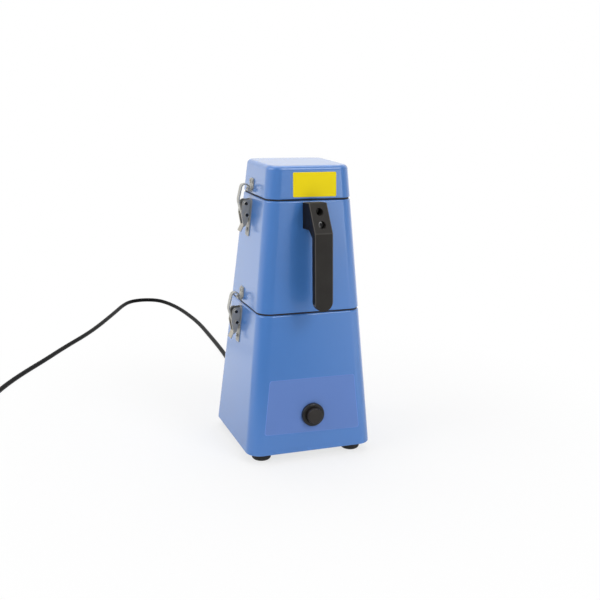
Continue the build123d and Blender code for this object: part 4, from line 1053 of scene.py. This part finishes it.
def floor_finish(tint):
    """Pale floor that keeps the shadow near the object and turns to plain white further out.

    Reflections see it bright behind the object and to the right in front, and dark elsewhere
    before it, as in a studio whose camera side is unlit.
    """
    m = Finish("studio_floor")
    x, y, _ = m.split(m.place)
    far = (x * x + y * y).root().ramp(0.1, 0.6)
    seen, mirrored = ray_kinds(m, "Camera", "Glossy")
    base = m.blend(m.noise(40.0, 2.0), shade(tint, 0.995), tint)
    matt = m.node("ShaderNodeBsdfDiffuse", None, {"Color": base})
    zone = (x + y * 0.37).ramp(-0.1, 0.2) * (1.0 - y.ramp(-0.8, 0.0))
    # Close to the object, reflections see the floor a fifth dimmer: painted shade where the object
    # shades the floor.
    lit = (0.05 + y.ramp(-0.8, 0.4) * 1.05) * (0.8 + far * 0.2) + zone * 1.2
    white = {"Color": (1.0, 1.0, 1.0, 1.0), "Strength": seen + mirrored * lit}
    glow = m.node("ShaderNodeEmission", None, white)
    share = (0.7 + far * 0.3) * (seen + mirrored)
    mixed = m.node("ShaderNodeMixShader", None, {0: share, 1: matt, 2: glow})
    m.node("ShaderNodeOutputMaterial", None, {"Surface": mixed})
    return m.material


def aim_camera(focal_length):
    """The camera's place and turn, as fitted to the photographed outlines."""
    ahead = Vector((0.3407, 0.9078, -0.2448)).normalized()
    above = Vector((0.0648, 0.237, 0.9693))
    across = ahead.cross(above).normalized()
    above = across.cross(ahead)
    turn = Matrix((across, above, -ahead)).transposed()
    place = Vector((-407.5, -1109.5, 490.9)) * MM
    camera = bpy.data.objects.new("camera", bpy.data.cameras.new("camera"))
    camera.data.lens = focal_length
    camera.data.sensor_width = 36.0
    camera.data.clip_start = 0.05
    camera.matrix_world = Matrix.Translation(place) @ turn.to_4x4()
    bpy.context.scene.collection.objects.link(camera)
    bpy.context.scene.camera = camera


class MILL_OT_build_stage(bpy.types.Operator):
    """Sets up the floor, the lamps, the world and the camera"""

    bl_idname = "mill.build_stage"
    bl_label = "Build Stage"

    def execute(self, context):
        settings = context.scene.mill_stage
        reach = 9.0
        corners = [(-reach, -reach, 0), (reach, -reach, 0), (reach, reach, 0), (-reach, reach, 0)]
        mesh = bpy.data.meshes.new("floor")
        mesh.from_pydata(corners, [], [(0, 1, 2, 3)])
        mesh.materials.append(floor_finish(settings.floor_tint))
        new_piece("floor", mesh)
        studio_world()
        key = soft_lamp("key", settings.key_power, (1.1, 1.1), (0.9, -2.0, 1.9), (0.0, 0.0, -0.35))
        key.spread = math.radians(60.0)
        body = (0.0, 0.0, 0.2)
        soft_lamp("side", settings.side_power, (1.6, 1.2), (-1.9, -0.15, 1.5), body)
        soft_lamp("top", settings.top_power, (1.6, 1.6), (0.1, 0.5, 2.2), body)
        aim_camera(settings.focal_length)
        context.scene.view_settings.view_transform = "Standard"
        return {"FINISHED"}


class MILL_PT_sidebar(bpy.types.Panel):
    """Lists the mill's steps and settings"""

    bl_idname = "MILL_PT_sidebar"
    bl_label = "Laboratory Mill"
    bl_space_type = "VIEW_3D"
    bl_region_type = "UI"
    bl_category = "Mill"

    def draw(self, context):
        for step in STEPS:
            self.layout.operator(step.bl_idname)
        for name, kind in SETTINGS.items():
            box = self.layout.box()
            for label in kind.__annotations__:
                box.prop(getattr(context.scene, name), label)


SETTINGS = {
    "mill_paint": MillPaint,
    "mill_casing": MillCasing,
    "mill_plates": MillPlates,
    "mill_cord": MillCord,
    "mill_stage": MillStage,
}
STEPS = (
    MILL_OT_build_stage,
    MILL_OT_lay_cord,
    MILL_OT_paint_casings,
    MILL_OT_finish_fittings,
    MILL_OT_finish_drive,
    MILL_OT_finish_grinding_space,
    MILL_OT_fit_plates,
    MILL_OT_fit_cap_screw,
    MILL_OT_rib_sleeves,
    MILL_OT_wind_field_coils,
)


def register():
    for kind in (*SETTINGS.values(), *STEPS, MILL_PT_sidebar):
        bpy.utils.register_class(kind)
    for name, kind in SETTINGS.items():
        setattr(bpy.types.Scene, name, PointerProperty(type=kind))


def unregister():
    for name in SETTINGS:
        delattr(bpy.types.Scene, name)
    for kind in (*SETTINGS.values(), *STEPS, MILL_PT_sidebar):
        bpy.utils.unregister_class(kind)


def main():
    register()
    for step in STEPS:
        name = step.bl_idname.split(".")[1]
        getattr(bpy.ops.mill, name)()


if __name__ == "__main__":
    main()
